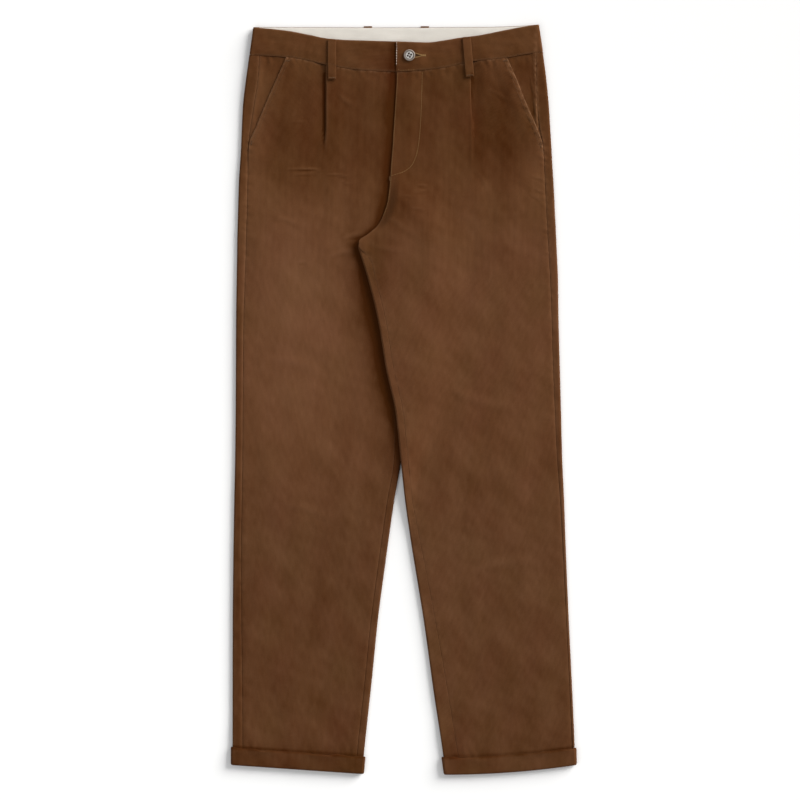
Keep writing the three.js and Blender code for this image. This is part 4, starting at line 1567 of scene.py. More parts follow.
@dataclass
class Waistband:
    """One half of the waistband, from the fly round the side to the centre back."""

    leg: Leg
    down_count: int = 17
    front_count: int = 120
    back_count: int = 70
    turn_count: int = 13
    # The side fold at the top edge on the right and on the left, and where it meets the leg's edge.
    top_folds: tuple[float, float] = (217.0, 194.5)
    leg_top: float = 497.0
    flat: tuple[float, float] = (0.45, 0.042)
    wave: Ripple = Ripple(30, 33, stretch=0.6)
    # How full the wall is at shares of the way down from its folded top edge to the seam.
    rounding: tuple[tuple[float, float], ...] = (
        (0, 0.35), (0.008, 0.72), (0.03, 0.92), (0.07, 1), (0.95, 0.92), (0.985, 0.72), (1, 0.45),
    )  # fmt: skip

    def path(self, down: float) -> tuple[Array, Array, Array, Array]:
        """Work out the band's middle at one depth below its top edge.

        Args:
            down: 0 at the top edge and 1 at the seam.

        Returns:
            Distances outwards, heights up the garment, heights off the surface and thicknesses.
        """
        leg, lay = self.leg, LAY
        right = leg is RIGHT
        edge = blend(self.top_folds[0 if right else 1], float(leg.at("edge", self.leg_top)), down)
        start = -lay.fly_lap_x if right else float(leg.at("front", lay.waist_y)) - 1.2
        end = leg.sign * lay.centre_back_x + lay.gap / 2
        u = stations(start, edge - 6, self.front_count, (True, False))
        tab = (1 - ease(u, 11, 15)) if right else 0 * u
        lapped = 0 * u if right else 1 - ease(u, lay.fly_lap_x + 4, lay.fly_lap_x + 24)
        thick = blend(lay.band_cloth, lay.tab_cloth, tab)
        z = lay.band_front_z + lay.fly_lap_rise * lapped - (lay.band_cloth - lay.tab_cloth) / 2 * tab

        def front_y(v: Any) -> Any:
            """The front's height up the garment."""
            return blend(BAND_TOP(leg.sign * v), WAIST_SEAM(leg.sign * v) + lay.seam_gap, down)

        radius = (lay.band_front_z - lay.band_back_z) / 2
        angle = np.linspace(0, math.pi, self.turn_count)
        turn_u = edge - radius - lay.band_cloth / 2 + radius * np.sin(angle)
        turn_z = lay.band_back_z + radius + radius * np.cos(angle)
        back_u = stations(edge - 8, end, self.back_count, (False, True))
        back_y = BACK_TOP(leg.sign * back_u) - lay.band_height * down
        ripple = 0.16 * self.wave(leg.sign * u, front_y(u)) * ease(u - start, 0, 16) * ease(edge - u, 2, 20)
        z = z + ripple + RELIEF.upper(leg, leg.sign * u, np.minimum(front_y(u), 480)) * 0.4 * down
        z = z - (0.6 + 0.7 * lapped) * ease(down, 0.72, 1.0) * (1 - tab)
        turn_back = BACK_TOP(leg.sign * turn_u) - lay.band_height * down
        turn_y = blend(front_y(turn_u), turn_back, ease(np.linspace(0, 1, len(angle)), 0.2, 0.8))
        return (
            np.concatenate([u, turn_u, back_u]),
            np.concatenate([front_y(u), turn_y, back_y]),
            np.concatenate([z, turn_z, 0 * back_u + lay.band_back_z]),
            np.concatenate([thick, 0 * turn_u + lay.band_cloth, 0 * back_u + lay.band_cloth]),
        )

    def build(self) -> bpy.types.Object:
        """Make the band, with its buttonhole in the left half."""
        name = f"waistband_{self.leg.name}"
        depths, fullness = zip(*self.rounding)
        downs = np.concatenate([depths[:4], stations(0, 1, self.down_count)[2:-2], depths[4:]])
        paths = [self.path(float(down)) for down in downs]
        u, y, z, thick = (np.array([p[i] for p in paths]) for i in range(4))
        x = self.leg.sign * u
        half = thick / 2 * np.interp(downs, depths, fullness)[:, None] * rim(u.shape[1])[None, :]
        along = np.array([arc_length(a, b) for a, b in zip(u, z)])
        down = downs[:, None] + 0 * u
        grain = np.stack([down * LAY.band_height, along], axis=-1)
        wear = 0.45 * bell(down, 0.05) + 0.4 * bell(1 - down, 0.04)
        made = shell(name + "_ribbon", np.stack([x, y, z], axis=-1), half, grain, nap(self.leg, x, y, wear))
        if self.leg is LEFT:
            Buttonhole().cut(made)
        settle(made, Finish.CORDUROY, name)
        return made


@dataclass
class Buttonhole:
    """The buttonhole: a slit that the shank holds open, whose lips meet and close, with its close stitches."""

    x: float = BUTTON_X
    y: float = BUTTON_Y
    back: float = -2.6
    through: float = 6.0
    straight: float = 9.0
    meet: float = 17.6
    length: float = 23.0
    open_half: float = 2.4
    closed_half: float = 0.1
    floor_top: float = 8.75
    floor_tip: float = 8.2
    clear_floor: float = 5.0
    stitch: float = 0.42
    reach: float = 0.95
    clear: float = 4.6

    def half_width(self, along: float) -> float:
        """Half of the slit's width at a distance from the button's middle."""
        return float(np.interp(along, [self.straight, self.meet], [self.open_half, self.closed_half]))

    def cut(self, band: bpy.types.Object) -> None:
        """Cut the slit: through the band under the button, and half through it under the lips."""
        self.groove(band, (self.back, self.through), (self.clear_floor, self.clear_floor))
        stops = (self.through - 0.1, self.straight, self.meet)
        self.groove(band, stops, (self.floor_top, self.floor_top, self.floor_tip))

    def groove(self, band: bpy.types.Object, stops: Sequence[float], floors: Sequence[float]) -> None:
        """Cut one stretch of the slit.

        Args:
            band: The band.
            stops: Distances from the button's middle.
            floors: The height of the cut's floor at each.
        """
        bm = bmesh.new()
        ends = list(zip(stops, floors))
        corners = [(s, -self.half_width(s), z) for s, z in ends]
        corners += [(s, -w, z) for s, w, z in corners[::-1]]
        low = [bm.verts.new(((self.x + s) * MM, (self.y + w) * MM, z * MM)) for s, w, z in corners]
        face = bm.faces.new(low)
        grown = bmesh.ops.extrude_face_region(bm, geom=[face], use_keep_orig=True)
        lifted = [v for v in grown["geom"] if isinstance(v, bmesh.types.BMVert)]
        bmesh.ops.translate(bm, verts=lifted, vec=(0, 0, 9 * MM))
        bmesh.ops.triangulate(bm, faces=bm.faces[:])
        face_outwards(bm)
        carve(band, mesh_object("slit", bm, smooth=False))

    def build(self, surface: "Surface") -> bpy.types.Object:
        """Sew the edge of the slit.

        Args:
            surface: What the stitches lie on.

        Returns:
            The stitches.
        """
        sewing = Sewing("buttonhole_stitches", Finish.GOLD_THREAD, surface)
        along = self.clear
        while along < self.length + 0.6:
            w = self.half_width(min(along, self.length))
            for side in (-1, 1):
                start = (self.x + along, self.y + side * (w + 0.08))
                end = (self.x + along + 0.1, self.y + side * (w + self.reach))
                sewing.stitch(start, end, 0.25, lift=0.14)
            along += self.stitch
        end_x = self.x + self.length + 0.5
        sewing.stitch((end_x, self.y - 1.3), (end_x, self.y + 1.3), 0.34, lift=0.2)
        return sewing.finish()


def carve(target: bpy.types.Object, cutter: bpy.types.Object) -> None:
    """Cut one object out of another and take the cutter away.

    Args:
        target: The object that is cut.
        cutter: The closed object that cuts it.
    """
    cut = target.modifiers.new("cut", "BOOLEAN")
    cut.operation, cut.object, cut.solver = "DIFFERENCE", cutter, "EXACT"
    graph = bpy.context.evaluated_depsgraph_get()
    made = bpy.data.meshes.new_from_object(target.evaluated_get(graph), depsgraph=graph)
    target.modifiers.clear()
    old, target.data = target.data, made
    bpy.data.meshes.remove(old)
    bpy.data.objects.remove(cutter)


@dataclass
class Lining:
    """The cream lining inside the back of the waistband."""

    left_end: float = -209.0
    right_end: float = 187.0
    flat: tuple[float, float] = (0.396, 0.04)
    wave: Ripple = Ripple(42, 41, stretch=0.5)

    def build(self) -> bpy.types.Object:
        """Make the strip."""
        lay = LAY
        downs = stations(0.8, lay.band_height, 16, (True, True))
        x = np.linspace(self.left_end, self.right_end, 150)[None, :] + 0 * downs[:, None]
        y = BACK_TOP(x) - downs[:, None]
        z = lay.band_back_z + (lay.band_cloth + lay.lining_cloth) / 2 + lay.gap + 0 * x
        z = z + 0.22 * np.abs(self.wave(x, y)) * ease(downs, 1, 8)[:, None]
        half = lay.lining_cloth / 2 * rim(len(downs))[:, None] + 0 * x
        middle = np.stack([x, y, z], axis=-1)
        made = shell("waistband_lining_strip", middle, half, middle[..., :2], np.ones((*x.shape, 4)))
        settle(made, Finish.COTTON, "waistband_lining")
        return made


@dataclass
class Cuff:
    """A turned-up hem, a ring of cloth round the end of a leg."""

    leg: Leg
    round_count: int = 200
    flat: tuple[float, float] = (0.385, 0.028)
    # Distance out from the leg's surface and height over the fold.
    profile: tuple[tuple[float, float], ...] = (
        (0.3, 23.6), (0.45, 24.8), (0.95, 25.35), (1.55, 25.35), (2.1, 24.9), (2.45, 23.9), (2.5, 21), (2.5, 17),
        (2.5, 12), (2.5, 7), (2.5, 3.4), (2.35, 1.7), (1.9, 0.7), (1.1, 0.15), (0.2, 0), (-0.7, 0.25), (-1.4, 0.9),
        (-1.65, 1.6), (-1.6, 2.3), (0.3, 2.3), (0.3, 10), (0.3, 18),
    )  # fmt: skip
    pucker: Ripple = Ripple(17, 51)
    gape: tuple[Patch, ...] = table(
        Patch,
        (-204, -503, 12, 18, 0, 1.3),
        (-112, -511, 12, 26, 0, 1.2),
        (205, -503, 14, 42, 0, 1.5),
        (112, -512, 12, 20, 0, 0.5),
    )
    # Creases within the cuff.
    folds: tuple[Crease, ...] = table(
        Crease,
        (-118, -526, -70, -536, 2, 2.4, 0.8),
        (-126, -522, -96, -519, -1, 2.0, 0.6),
        (-180, -522, -150, -531, 1.5, 2.4, 0.6),
        (-232, -520, -212, -528, -1, 2.2, 0.5),
        (90, -522, 130, -524, 1.5, 2.2, 0.6),
        (128, -536, 156, -528, -1.5, 2.4, 0.5),
        (200, -524, 232, -518, 1.5, 2.2, 0.5),
    )

    def build(self) -> bpy.types.Object:
        """Make the ring."""
        leg, lay = self.leg, LAY
        radius = (lay.hem_loft + lay.cloth) / 2
        middle = lay.cuff_lift + radius
        quarter = self.round_count // 10
        wall = (self.round_count - 4 * quarter) // 2
        turn = np.linspace(-math.pi / 2, math.pi / 2, 2 * quarter, endpoint=False)
        rings, maps = [], []
        for out, up in self.profile:
            y = lay.hem_y + up
            outer, inner = float(leg.at("edge", y)) - radius, float(leg.at("inner", y)) + radius
            across = np.linspace(outer, inner, wall, endpoint=False)
            u = np.concatenate([0 * turn + outer, across, 0 * turn + inner, across[::-1] + (inner - across[-1])])
            dx = np.concatenate([np.cos(turn), 0 * across, np.cos(turn + math.pi), 0 * across])
            dz = np.concatenate([np.sin(turn), 0 * across + 1, np.sin(turn + math.pi), 0 * across - 1])
            x = leg.sign * (u + dx * (radius + out))
            y = lay.hem_fold(leg, x) + up
            outside = out > 1.5
            rise = 0.25 * self.pucker(x, 2.2 * y) * ease(up, 8, 24) * outside * (1 - 0.6 * ease(up, 24.5, 25.4))
            rise = rise + sum(fold(x, y) for fold in self.folds) * outside
            gape = sum(patch(x, y) for patch in self.gape) * ease(up, 14, 25) * (dz > 0.5)
            z = middle + dz * (radius + out) + np.where(dz > 0.5, rise + gape, np.maximum(rise, 0) * (dz < -0.5))
            shift = 0.5 * self.pucker(x + 40, 3.0) * ease(up, 20, 25)
            rings.append(np.stack([x, y + shift, np.maximum(z, 0.02)], axis=-1))
            maps.append(np.cumsum(np.hypot(*np.diff(np.stack([u + dx * radius, dz * radius]), axis=1, prepend=0))))
        made = self.ring(np.array(rings), np.array(maps))
        settle(made, Finish.CORDUROY, f"cuff_{leg.name}")
        return made

    def ring(self, points: Array, around: Array) -> bpy.types.Object:
        """Close the profiles into a ring.

        Args:
            points: Points, profiles by places round the leg by 3.
            around: Each point's distance round the leg.

        Returns:
            The object.
        """
        rows, columns = points.shape[:2]
        bm = bmesh.new()
        layer = numbered_grid(bm, rows + 1, columns + 1)
        uv = bm.loops.layers.uv.new("grain")
        ups = np.array([up for _, up in self.profile] + [self.profile[0][1]])
        for f in bm.faces:
            for corner in f.loops:
                row, column = divmod(corner.vert[layer], columns + 1)
                side = around[row % rows][column % columns] + (around[row % rows][-1] if column == columns else 0)
                corner[uv].uv = (side * MM, ups[row] * MM)
        for v in bm.verts:
            row, column = divmod(v[layer], columns + 1)
            v.co = Vector(points[row % rows][column % columns] * MM)
        bmesh.ops.remove_doubles(bm, verts=bm.verts[:], dist=1e-7)
        face_outwards(bm)
        places = np.array([v.co for v in bm.verts]) / MM
        made = mesh_object(f"cuff_{self.leg.name}_ring", bm)
        height = places[:, 1] - LAY.hem_fold(self.leg, places[:, 0])
        write_tones(made.data, nap(self.leg, places[:, 0], places[:, 1], 0.15 * bell(height, 1.5)))
        return made


@dataclass
class BeltLoop:
    """A belt loop: a folded strip, turned under at both ends and sewn down."""

    name: str
    x: float
    y: float
    z: float
    turn: float = 0.0
    width: float = 12.0
    length: float = 58.0
    cloth: float = 1.05
    flat_cloth: float = 1.35
    under: float = 8.0
    crown: float = 0.3
    bend: float = 0.6
    brighter: tuple[float, ...] = (1.04, 1, 1, 1)

    @property
    def behind(self) -> bool:
        """Whether the loop is one of the back's, which lie flat under the band."""
        return self.z == 0

    def build(self) -> bpy.types.Object:
        """Make the loop."""
        radius = self.bend
        angle = np.linspace(0, math.pi, 9)
        low, top = self.cloth / 2 + 0.02, self.cloth / 2 + 0.02 + 2 * radius
        if self.behind:
            s = np.linspace(0, self.length, 60)
            z = 0 * s + 0.7
            cloth = self.flat_cloth
        else:
            cloth = self.cloth
            span = np.linspace(radius + 1, self.length - radius - 1, 60)
            s = np.concatenate(
                [
                    np.linspace(self.under, radius + 1, 8),
                    radius + cloth / 2 - radius * np.sin(angle),
                    span,
                    self.length - radius - cloth / 2 + radius * np.sin(angle),
                    np.linspace(self.length - radius - 1, self.length - self.under - 2, 8),
                ]
            )
            rise = self.crown * np.sin(math.pi * span / self.length) - 0.25 * bell(span - 4, 2)
            rise = rise - 0.25 * bell(self.length - span - 5, 2)
            z = np.concatenate(
                [0 * np.arange(8) + low, (low + top) / 2 - radius * np.cos(angle), top + rise]
                + [(low + top) / 2 + radius * np.cos(angle), 0 * np.arange(8) + low]
            )
        across = stations(-self.width / 2, self.width / 2, 15, (True, True))
        x = across[None, :] + 0 * s[:, None]
        y = -s[:, None] + 0 * x
        dome = 0.12 * (1 - (2 * x / self.width) ** 2) * (z[:, None] > low + 0.1)
        height = z[:, None] + dome
        a = math.radians(self.turn)
        world_x = self.x + x * math.cos(a) - y * math.sin(a)
        world_y = self.y + x * math.sin(a) + y * math.cos(a)
        leg = RIGHT if self.x < LAY.centre_back_x else LEFT
        wear = 0.14 * bell(self.width / 2 - np.abs(x), 1.0) + 0.05
        half = cloth / 2 * rim(len(across))[None, :] * rim(len(s))[:, None]
        made = shell(
            self.name + "_strip",
            np.stack([world_x, world_y, height + self.z], axis=-1),
            half,
            np.stack([x, arc_length(s, z)[:, None] + 0 * x], axis=-1),
            nap(leg, world_x, world_y, wear) * np.array(self.brighter),
        )
        settle(made, Finish.CORDUROY, self.name)
        flat = self.length + (0 if self.behind else 2 * self.under)
        flat * MM
        return made


# --------------------
# Button and sewing


@dataclass
class Button:
    """The fly's four-hole button, dished, with its rim, shank and crossed thread."""

    x: float = BUTTON_X
    y: float = BUTTON_Y
    z: float = 10.7
    hole: float = 1.42
    hole_offset: float = 2.55
    turned: float = 17.0
    shank_radius: float = 1.2
    thread_radius: float = 0.12
    # Radius and height of the turned profile.
    profile: tuple[tuple[float, float], ...] = (
        (0.0, 0.3), (4.4, 0.02), (7.0, 0.45), (7.9, 1.0), (8.25, 1.55), (8.22, 2.05), (7.95, 2.5), (7.5, 2.85),
        (7.0, 2.95), (6.6, 2.8), (6.3, 2.3), (6.05, 1.9), (5.8, 1.85), (5.5, 2.05), (5.1, 2.3), (4.5, 2.36),
        (3.6, 2.28), (0.0, 2.25),
    )  # fmt: skip

    def build(self) -> list[bpy.types.Object]:
        """Make the disc, its thread and its shank."""
        return [self.disc(), self.thread(), self.shank()]

    def disc(self) -> bpy.types.Object:
        """Turn the disc and drill it."""
        bm = bmesh.new()
        outline = [bm.verts.new((r * MM, 0, h * MM)) for r, h in self.profile]
        edges = [bm.edges.new(pair) for pair in zip(outline, outline[1:])]
        bmesh.ops.spin(
            bm, geom=outline + edges, cent=(0, 0, 0), axis=(0, 0, 1), angle=math.tau, steps=64, use_merge=True
        )
        bmesh.ops.remove_doubles(bm, verts=bm.verts[:], dist=1e-6)
        face_outwards(bm)
        bmesh.ops.translate(bm, verts=bm.verts[:], vec=(self.x * MM, self.y * MM, self.z * MM))
        made = mesh_object("button_disc", bm)
        for k in range(4):
            a = math.radians(self.turned + 90 * k)
            drill = bmesh.new()
            place = (self.x + self.hole_offset * math.cos(a), self.y + self.hole_offset * math.sin(a), self.z + 1)
            rod(drill, place, self.hole, 9, 20)
            carve(made, mesh_object("drill", drill, smooth=False))
        made.data.polygons.foreach_set("use_smooth", np.full(len(made.data.polygons), True))
        made.data.set_sharp_from_angle(angle=math.radians(38))
        return settle(made, Finish.HORN, "button")

    def thread(self) -> bpy.types.Object:
        """Lay the crossed thread from hole to hole."""
        bm = bmesh.new()
        reach = self.hole_offset - self.hole + 0.2
        for k in range(4):
            turn = math.radians(self.turned + (90 if k % 2 else 0))
            aside = (k // 2 - 0.5) * 0.36
            height = self.z + 2.3 + 0.14 * (k % 2)
            middle = Vector((self.x - aside * math.sin(turn), self.y + aside * math.cos(turn), height))
            half = Vector((math.cos(turn), math.sin(turn), 0)) * reach
            capsule(bm, middle - half, middle + half, self.thread_radius)
        return settle(mesh_object("button_thread", bm), Finish.GREY_THREAD)

    def shank(self) -> bpy.types.Object:
        """Wind the shank through the buttonhole."""
        bm = bmesh.new()
        low = LAY.band_front_z - LAY.band_cloth / 2 + LAY.tab_cloth + LAY.gap
        high = self.z - LAY.gap
        rod(bm, (self.x, self.y, (low + high) / 2), self.shank_radius, high - low, 16)
        bmesh.ops.bevel(
            bm, geom=bm.edges[:], offset=0.15 * MM, segments=2, affect="EDGES", profile=0.5, material=-1
        )
        return settle(mesh_object("button_shank_thread", bm), Finish.BROWN_THREAD, "button_shank")


def rod(bm: bmesh.types.BMesh, place: Sequence[float], radius: float, length: float, sides: int) -> None:
    """Add an upright rod to a bmesh.

    Args:
        bm: The bmesh.
        place: The rod's middle, in millimetres.
        radius: Its radius.
        length: Its length.
        sides: Faces round it.
    """
    wide = radius * MM
    bmesh.ops.create_cone(
        bm, cap_ends=True, segments=sides, radius1=wide, radius2=wide, depth=length * MM,
        matrix=Matrix.Translation(Vector(place) * MM),
    )  # fmt: skip


def capsule(
    bm: bmesh.types.BMesh, start: Sequence[float], end: Sequence[float], radius: float, flat: float = 1.0
) -> None:
    """Add one short length of thread to a bmesh.

    Args:
        bm: The bmesh.
        start: Its first end, in millimetres.
        end: Its other end.
        radius: The thread's radius.
        flat: Its height against its width.
    """
    a, b = Vector(start), Vector(end)
    along = b - a
    turn = along.to_track_quat("X", "Z").to_matrix().to_4x4()
    size = Matrix.Diagonal(((along.length / 2 + radius) * MM, radius * MM, radius * flat * MM, 1))
    place = Matrix.Translation((a + b) / 2 * MM) @ turn @ size @ Matrix.Rotation(math.pi / 2, 4, "Y")
    bmesh.ops.create_uvsphere(bm, u_segments=6, v_segments=5, radius=1.0, matrix=place)


class Surface:
    """What lies uppermost under a point, over several pieces."""

    def __init__(self, pieces: Sequence[bpy.types.Object]) -> None:
        """Index the pieces' faces."""
        self.trees = []
        for piece in pieces:
            bm = bmesh.new()
            bm.from_mesh(piece.data)
            self.trees.append(BVHTree.FromBMesh(bm))
            bm.free()

    def height(self, x: float, y: float) -> float | None:
        """Find the uppermost surface.

        Args:
            x: The place across, in millimetres.
            y: The place along.

        Returns:
            The height in millimetres, or None off the cloth.
        """
        hits = [tree.ray_cast(Vector((x * MM, y * MM, 0.05)), Vector((0, 0, -1)))[0] for tree in self.trees]
        heights = [hit.z / MM for hit in hits if hit is not None]
        return max(heights) if heights else None


class Sewing:
    """A run of stitches that becomes one piece."""

    # Faces that a batch may reach, and the step in height past which a stitch stays on its first cloth.
    BATCH = 900
    LEDGE = 1.5

    def __init__(self, name: str, finish: Finish, surface: Surface) -> None:
        """Start a run.

        Args:
            name: The piece's name.
            finish: Its thread.
            surface: What it lies on.
        """
        self.name, self.finish_kind, self.surface = name, finish, surface
        self.bm, self.sewn = bmesh.new(), bmesh.new()

    def stitch(
        self, start: tuple[float, float], end: tuple[float, float], radius: float, lift: float = 0.0
    ) -> None:
        """Sew one stitch between two places on the surface.

        Args:
            start: Its first end.
            end: Its other end.
            radius: The thread's radius.
            lift: How far its middle stands off the cloth, over half of the thread.
        """
        first, last = self.surface.height(*start), self.surface.height(*end)
        if first is None and last is None:
            return
        first = last if first is None else first
        last = first if last is None or abs(last - first) > self.LEDGE else last
        capsule(self.bm, (*start, first + lift), (*end, last + lift), radius, 0.8)
        if len(self.bm.faces) > self.BATCH:
            self.gather()

    def gather(self) -> None:
        """Add the newest stitches to those already sewn, which keeps each new one quick."""
        batch = bpy.data.meshes.new("batch")
        self.bm.to_mesh(batch)
        self.bm.clear()
        self.sewn.from_mesh(batch)
        bpy.data.meshes.remove(batch)

    def line(
        self, points: Sequence[tuple[float, float]], length: float, space: float, radius: float, jitter: float = 0.12
    ) -> None:
        """Sew along a line.

        Args:
            points: The line.
            length: Each stitch's length.
            space: The space between stitches.
            radius: The thread's radius.
            jitter: How uneven it is, in millimetres.
        """
        line = np.array(points, float)
        far = arc_length(line[:, 0], line[:, 1])
        rng = np.random.default_rng(len(self.name) * 31 + len(points))
        at = 0.4
        while at + length < far[-1]:
            ends = [at, at + length * (1 + rng.uniform(-0.08, 0.08))]
            x, y = np.interp(ends, far, line[:, 0]), np.interp(ends, far, line[:, 1])
            shift = rng.uniform(-jitter, jitter, 2)
            self.stitch((x[0] + shift[0], y[0]), (x[1] + shift[1], y[1]), radius, lift=0.04)
            at += length + space

    def bartack(self, x: float, y: float, width: float, turn: float, radius: float = 0.26) -> None:
        """Sew a bartack: close stitches side by side.

        Args:
            x: The middle's place across.
            y: The middle's place along.
            width: How long the tack is.
            turn: Its direction in degrees from the X axis.
            radius: The thread's radius.
        """
        a = math.radians(turn)
        count = max(3, round(width / 0.5))
        for k in range(count):
            t = (k / (count - 1) - 0.5) * width
            cx, cy = x + t * math.cos(a), y + t * math.sin(a)
            dx, dy = -0.85 * math.sin(a), 0.85 * math.cos(a)
            self.stitch((cx - dx, cy - dy), (cx + dx + 0.15, cy + dy), radius, lift=0.1)

    def finish(self) -> bpy.types.Object:
        """Close the run."""
        self.gather()
        self.bm.free()
        return settle(mesh_object(self.name, self.sewn), self.finish_kind)


@dataclass
class Seamwork:
    """All of the sewing that shows on the front."""

    surface: Surface
    # The fly's curved line of stitches: height up the garment, place across.
    fly_bend: tuple[tuple[float, float], ...] = (
        (473.4, 26.6), (397.1, 23.9), (365, 20.6), (349.5, 17.0), (338, 11.5), (331, 4.5), (326.5, -5),
        (322.4, -18.5),
    )  # fmt: skip
    # The lowest stitch of each pocket mouth, and the highest.
    mouths: tuple[tuple[Leg, float, float], ...] = ((RIGHT, 366, 487), (LEFT, 362, 489))

    def along(self, leg: Leg, column: str, inset: float, top: float, bottom: float) -> list[tuple[float, float]]:
        """A line beside one of a leg's curves.

        Args:
            leg: The leg.
            column: The curve.
            inset: How far inside it the line runs.
            top: Where it starts.
            bottom: Where it ends.

        Returns:
            Points from top to bottom.
        """
        ys = np.linspace(top, bottom, 60)
        return [(float(leg.sign * (leg.at(column, y) - inset)), float(y)) for y in ys]

    def build(self) -> list[bpy.types.Object]:
        """Sew every line."""
        return [self.fly(), self.band_end(), self.pockets(), Buttonhole().build(self.surface)]

    def fly(self) -> bpy.types.Object:
        """Sew the fly's lines."""
        gold = Sewing("fly_stitches", Finish.GOLD_THREAD, self.surface)
        bend = Curve(self.fly_bend)
        ys = np.concatenate([np.linspace(471, 349.5, 40), np.linspace(346, 322.6, 36)])
        gold.line([(float(bend(y)), float(y)) for y in ys], 2.3, 1.3, 0.25)
        gold.line([(-8.6, 475.2), (-6.5, 474.0), (2, 474.0), (16, 474.9)], 1.6, 2.0, 0.22)
        gold.line(self.along(LEFT, "front", -1.2, 470, 262), 2.3, 1.1, 0.17)
        return gold.finish()

    def band_end(self) -> bpy.types.Object:
        """Sew the dashes at the end of the band."""
        cream = Sewing("band_end_stitches", Finish.CREAM_THREAD, self.surface)
        cream.line([(-10.3, 514.0), (-10.4, 504.2)], 1.0, 2.7, 0.3, 0.05)
        cream.line([(-10.5, 503.0), (-10.6, 494), (-10.7, 482.6)], 0.5, 3.25, 0.62, 0.1)
        return cream.finish()

    def pockets(self) -> bpy.types.Object:
        """Sew the pocket mouths, the bartacks and the waist seam."""
        brown = Sewing("pocket_stitches", Finish.BROWN_THREAD, self.surface)
        for leg, low, high in self.mouths:
            brown.line(self.along(leg, "mouth", 6.0, high, low), 2.6, 0.7, 0.24)
            brown.line(self.along(leg, "mouth", 1.6, high, low), 2.6, 0.9, 0.2)
            foot = leg.sign * (float(leg.at("mouth", low + 6)) - 3)
            brown.bartack(foot, low + 4, 6.0, 90 + 10 * leg.sign)
            brown.bartack(leg.sign * (float(leg.at("mouth", 489)) - 4.5), 488, 6.0, 8)
        brown.bartack(-20.6, 318.5, 5.5, 88, 0.24)
        for x, y in ((-103.5, 463.2), (94.7, 466.9)):
            brown.bartack(x, y, 9.5, 0 if x < 0 else 5, 0.24)
        for start, end in ((-214, -14), (18, 192)):
            xs = np.linspace(start, end, 60)
            brown.line([(float(x), float(WAIST_SEAM(x)) + 2.2) for x in xs], 2.6, 0.8, 0.17)
        return brown.finish()


# --------------------
# Studio


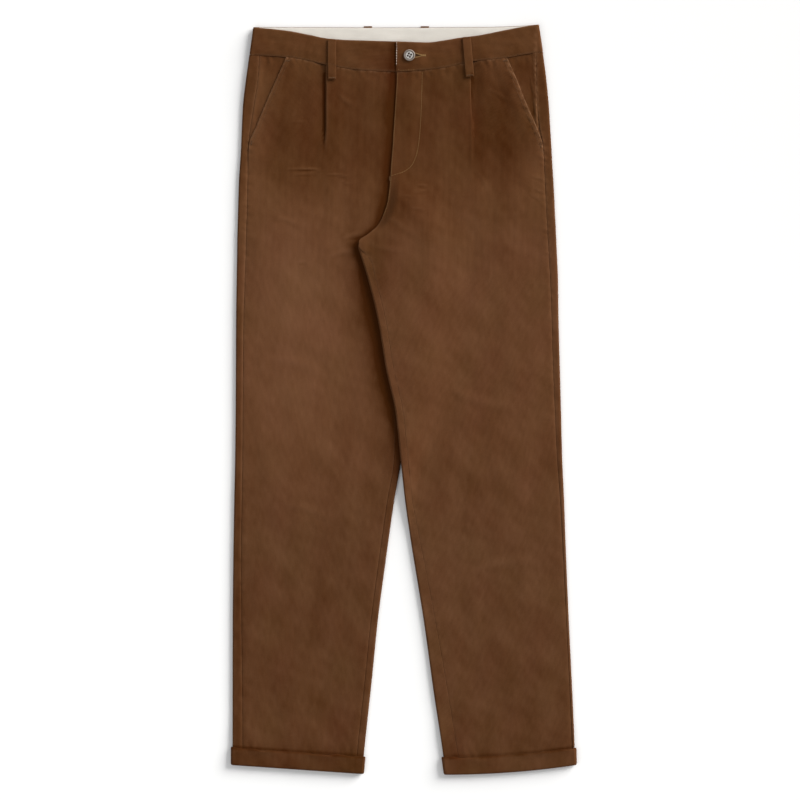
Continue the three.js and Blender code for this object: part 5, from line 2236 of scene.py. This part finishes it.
@dataclass
class Studio:
    """The floor, the light and the camera."""

    floor_size: float = 60.0
    lens: float = 150.0
    sensor: float = 36.0
    centre: tuple[float, float] = (-5.6, -0.4)
    view_width: float = 1.152
    key_strength: float = 5.7
    key_from: tuple[float, float, float] = (2.4, 1.85, 1.08)
    fill_from: tuple[float, float, float] = (-1.6, -1.2, 2.6)
    world_strength: float = 0.4

    def build(self) -> None:
        """Set the studio up."""
        self.floor()
        self.lights()
        self.camera()

    def floor(self) -> None:
        """Lay the floor."""
        bm = bmesh.new()
        bmesh.ops.create_grid(bm, x_segments=8, y_segments=8, size=self.floor_size / 2)
        bmesh.ops.translate(bm, verts=bm.verts[:], vec=(0, 0, -0.0002))
        made = mesh_object("floor", bm)
        made.data.materials.append(Finish.FLOOR.material())

    def aim(self, light: bpy.types.Light, place: tuple[float, float, float]) -> bpy.types.Object:
        """Hang a light so that it shines from a place towards the garment.

        Args:
            light: The light.
            place: Where it shines from, in metres.

        Returns:
            The light's object, still at the origin.
        """
        made = link(bpy.data.objects.new(light.name, light))
        made.rotation_euler = (-Vector(place)).to_track_quat("-Z", "Y").to_euler()
        return made

    def lights(self) -> None:
        """Light it softly and evenly from low on the upper right."""
        key = bpy.data.lights.new("key", "SUN")
        key.energy, key.angle, key.color = self.key_strength, math.radians(42), (1.0, 0.99, 0.97)
        self.aim(key, self.key_from)
        fill = bpy.data.lights.new("fill", "AREA")
        fill.shape, fill.size, fill.energy, fill.color = "SQUARE", 2.4, 20, (0.97, 0.985, 1.0)
        self.aim(fill, self.fill_from).location = self.fill_from
        world = bpy.data.worlds.new("studio")
        world.use_nodes = True
        background = world.node_tree.nodes["Background"]
        background.inputs[0].default_value = (1, 1, 1, 1)
        background.inputs[1].default_value = self.world_strength
        bpy.context.scene.world = world
        bpy.context.scene.view_settings.view_transform = "Standard"

    def camera(self) -> None:
        """Hang the camera straight over the garment, with the waist at the top of the picture."""
        data = bpy.data.cameras.new("camera")
        data.sensor_width, data.lens = self.sensor, self.lens
        distance = self.view_width / 2 / (self.sensor / 2 / self.lens)
        data.clip_start, data.clip_end = 0.05, 50
        made = link(bpy.data.objects.new("camera", data))
        made.location = (self.centre[0] * MM, self.centre[1] * MM, distance + 0.005)
        bpy.context.scene.camera = made


@dataclass
class Trousers:
    """The whole garment."""

    def build(self) -> None:
        """Make every piece in order, and sew on those of the upper side."""
        parts: list[Any] = [
            FrontPanel(RIGHT, flat=(0.262, 1.03), area=0.2),
            FrontPanel(LEFT, flat=(0.306, 1.03), area=0.222),
            BackPanel(RIGHT, flat=(0.37, 1.04), area=0.262, fold_start=317, fold_full=287),
            BackPanel(LEFT, flat=(0.315, 1.04), area=0.25, fold_start=229, fold_full=221),
        ]
        for leg in (RIGHT, LEFT):
            parts += [PocketFacing(leg, flat=(0.068, 0.15), area=0.0042), Cuff(leg), Waistband(leg)]
        parts += [
            Lining(),
            BeltLoop("belt_loop_front_right", -103.5, 518.6, 8.8),
            BeltLoop("belt_loop_front_left", 90.0, 522.0, 8.8, turn=5.0),
        ]
        upper = [part.build() for part in parts]
        # The inner two of the back's loops peek over the band.
        behind = (("right", -41, 2.2), ("left", 41, 2.2), ("side_right", -150, -0.5), ("side_left", 150, -0.5))
        for name, away, over in behind:
            x = LAY.centre_back_x + away
            BeltLoop(f"belt_loop_back_{name}", x, float(BACK_TOP(x)) + over, 0.0, length=57.5).build()
        Button().build()
        Seamwork(Surface(upper)).build()


def main() -> None:
    """Build the studio and the garment."""
    logging.basicConfig(level=logging.INFO, format="%(name)s %(relativeCreated)d: %(message)s")
    Studio().build()
    Trousers().build()


if __name__ == "__main__":
    main()
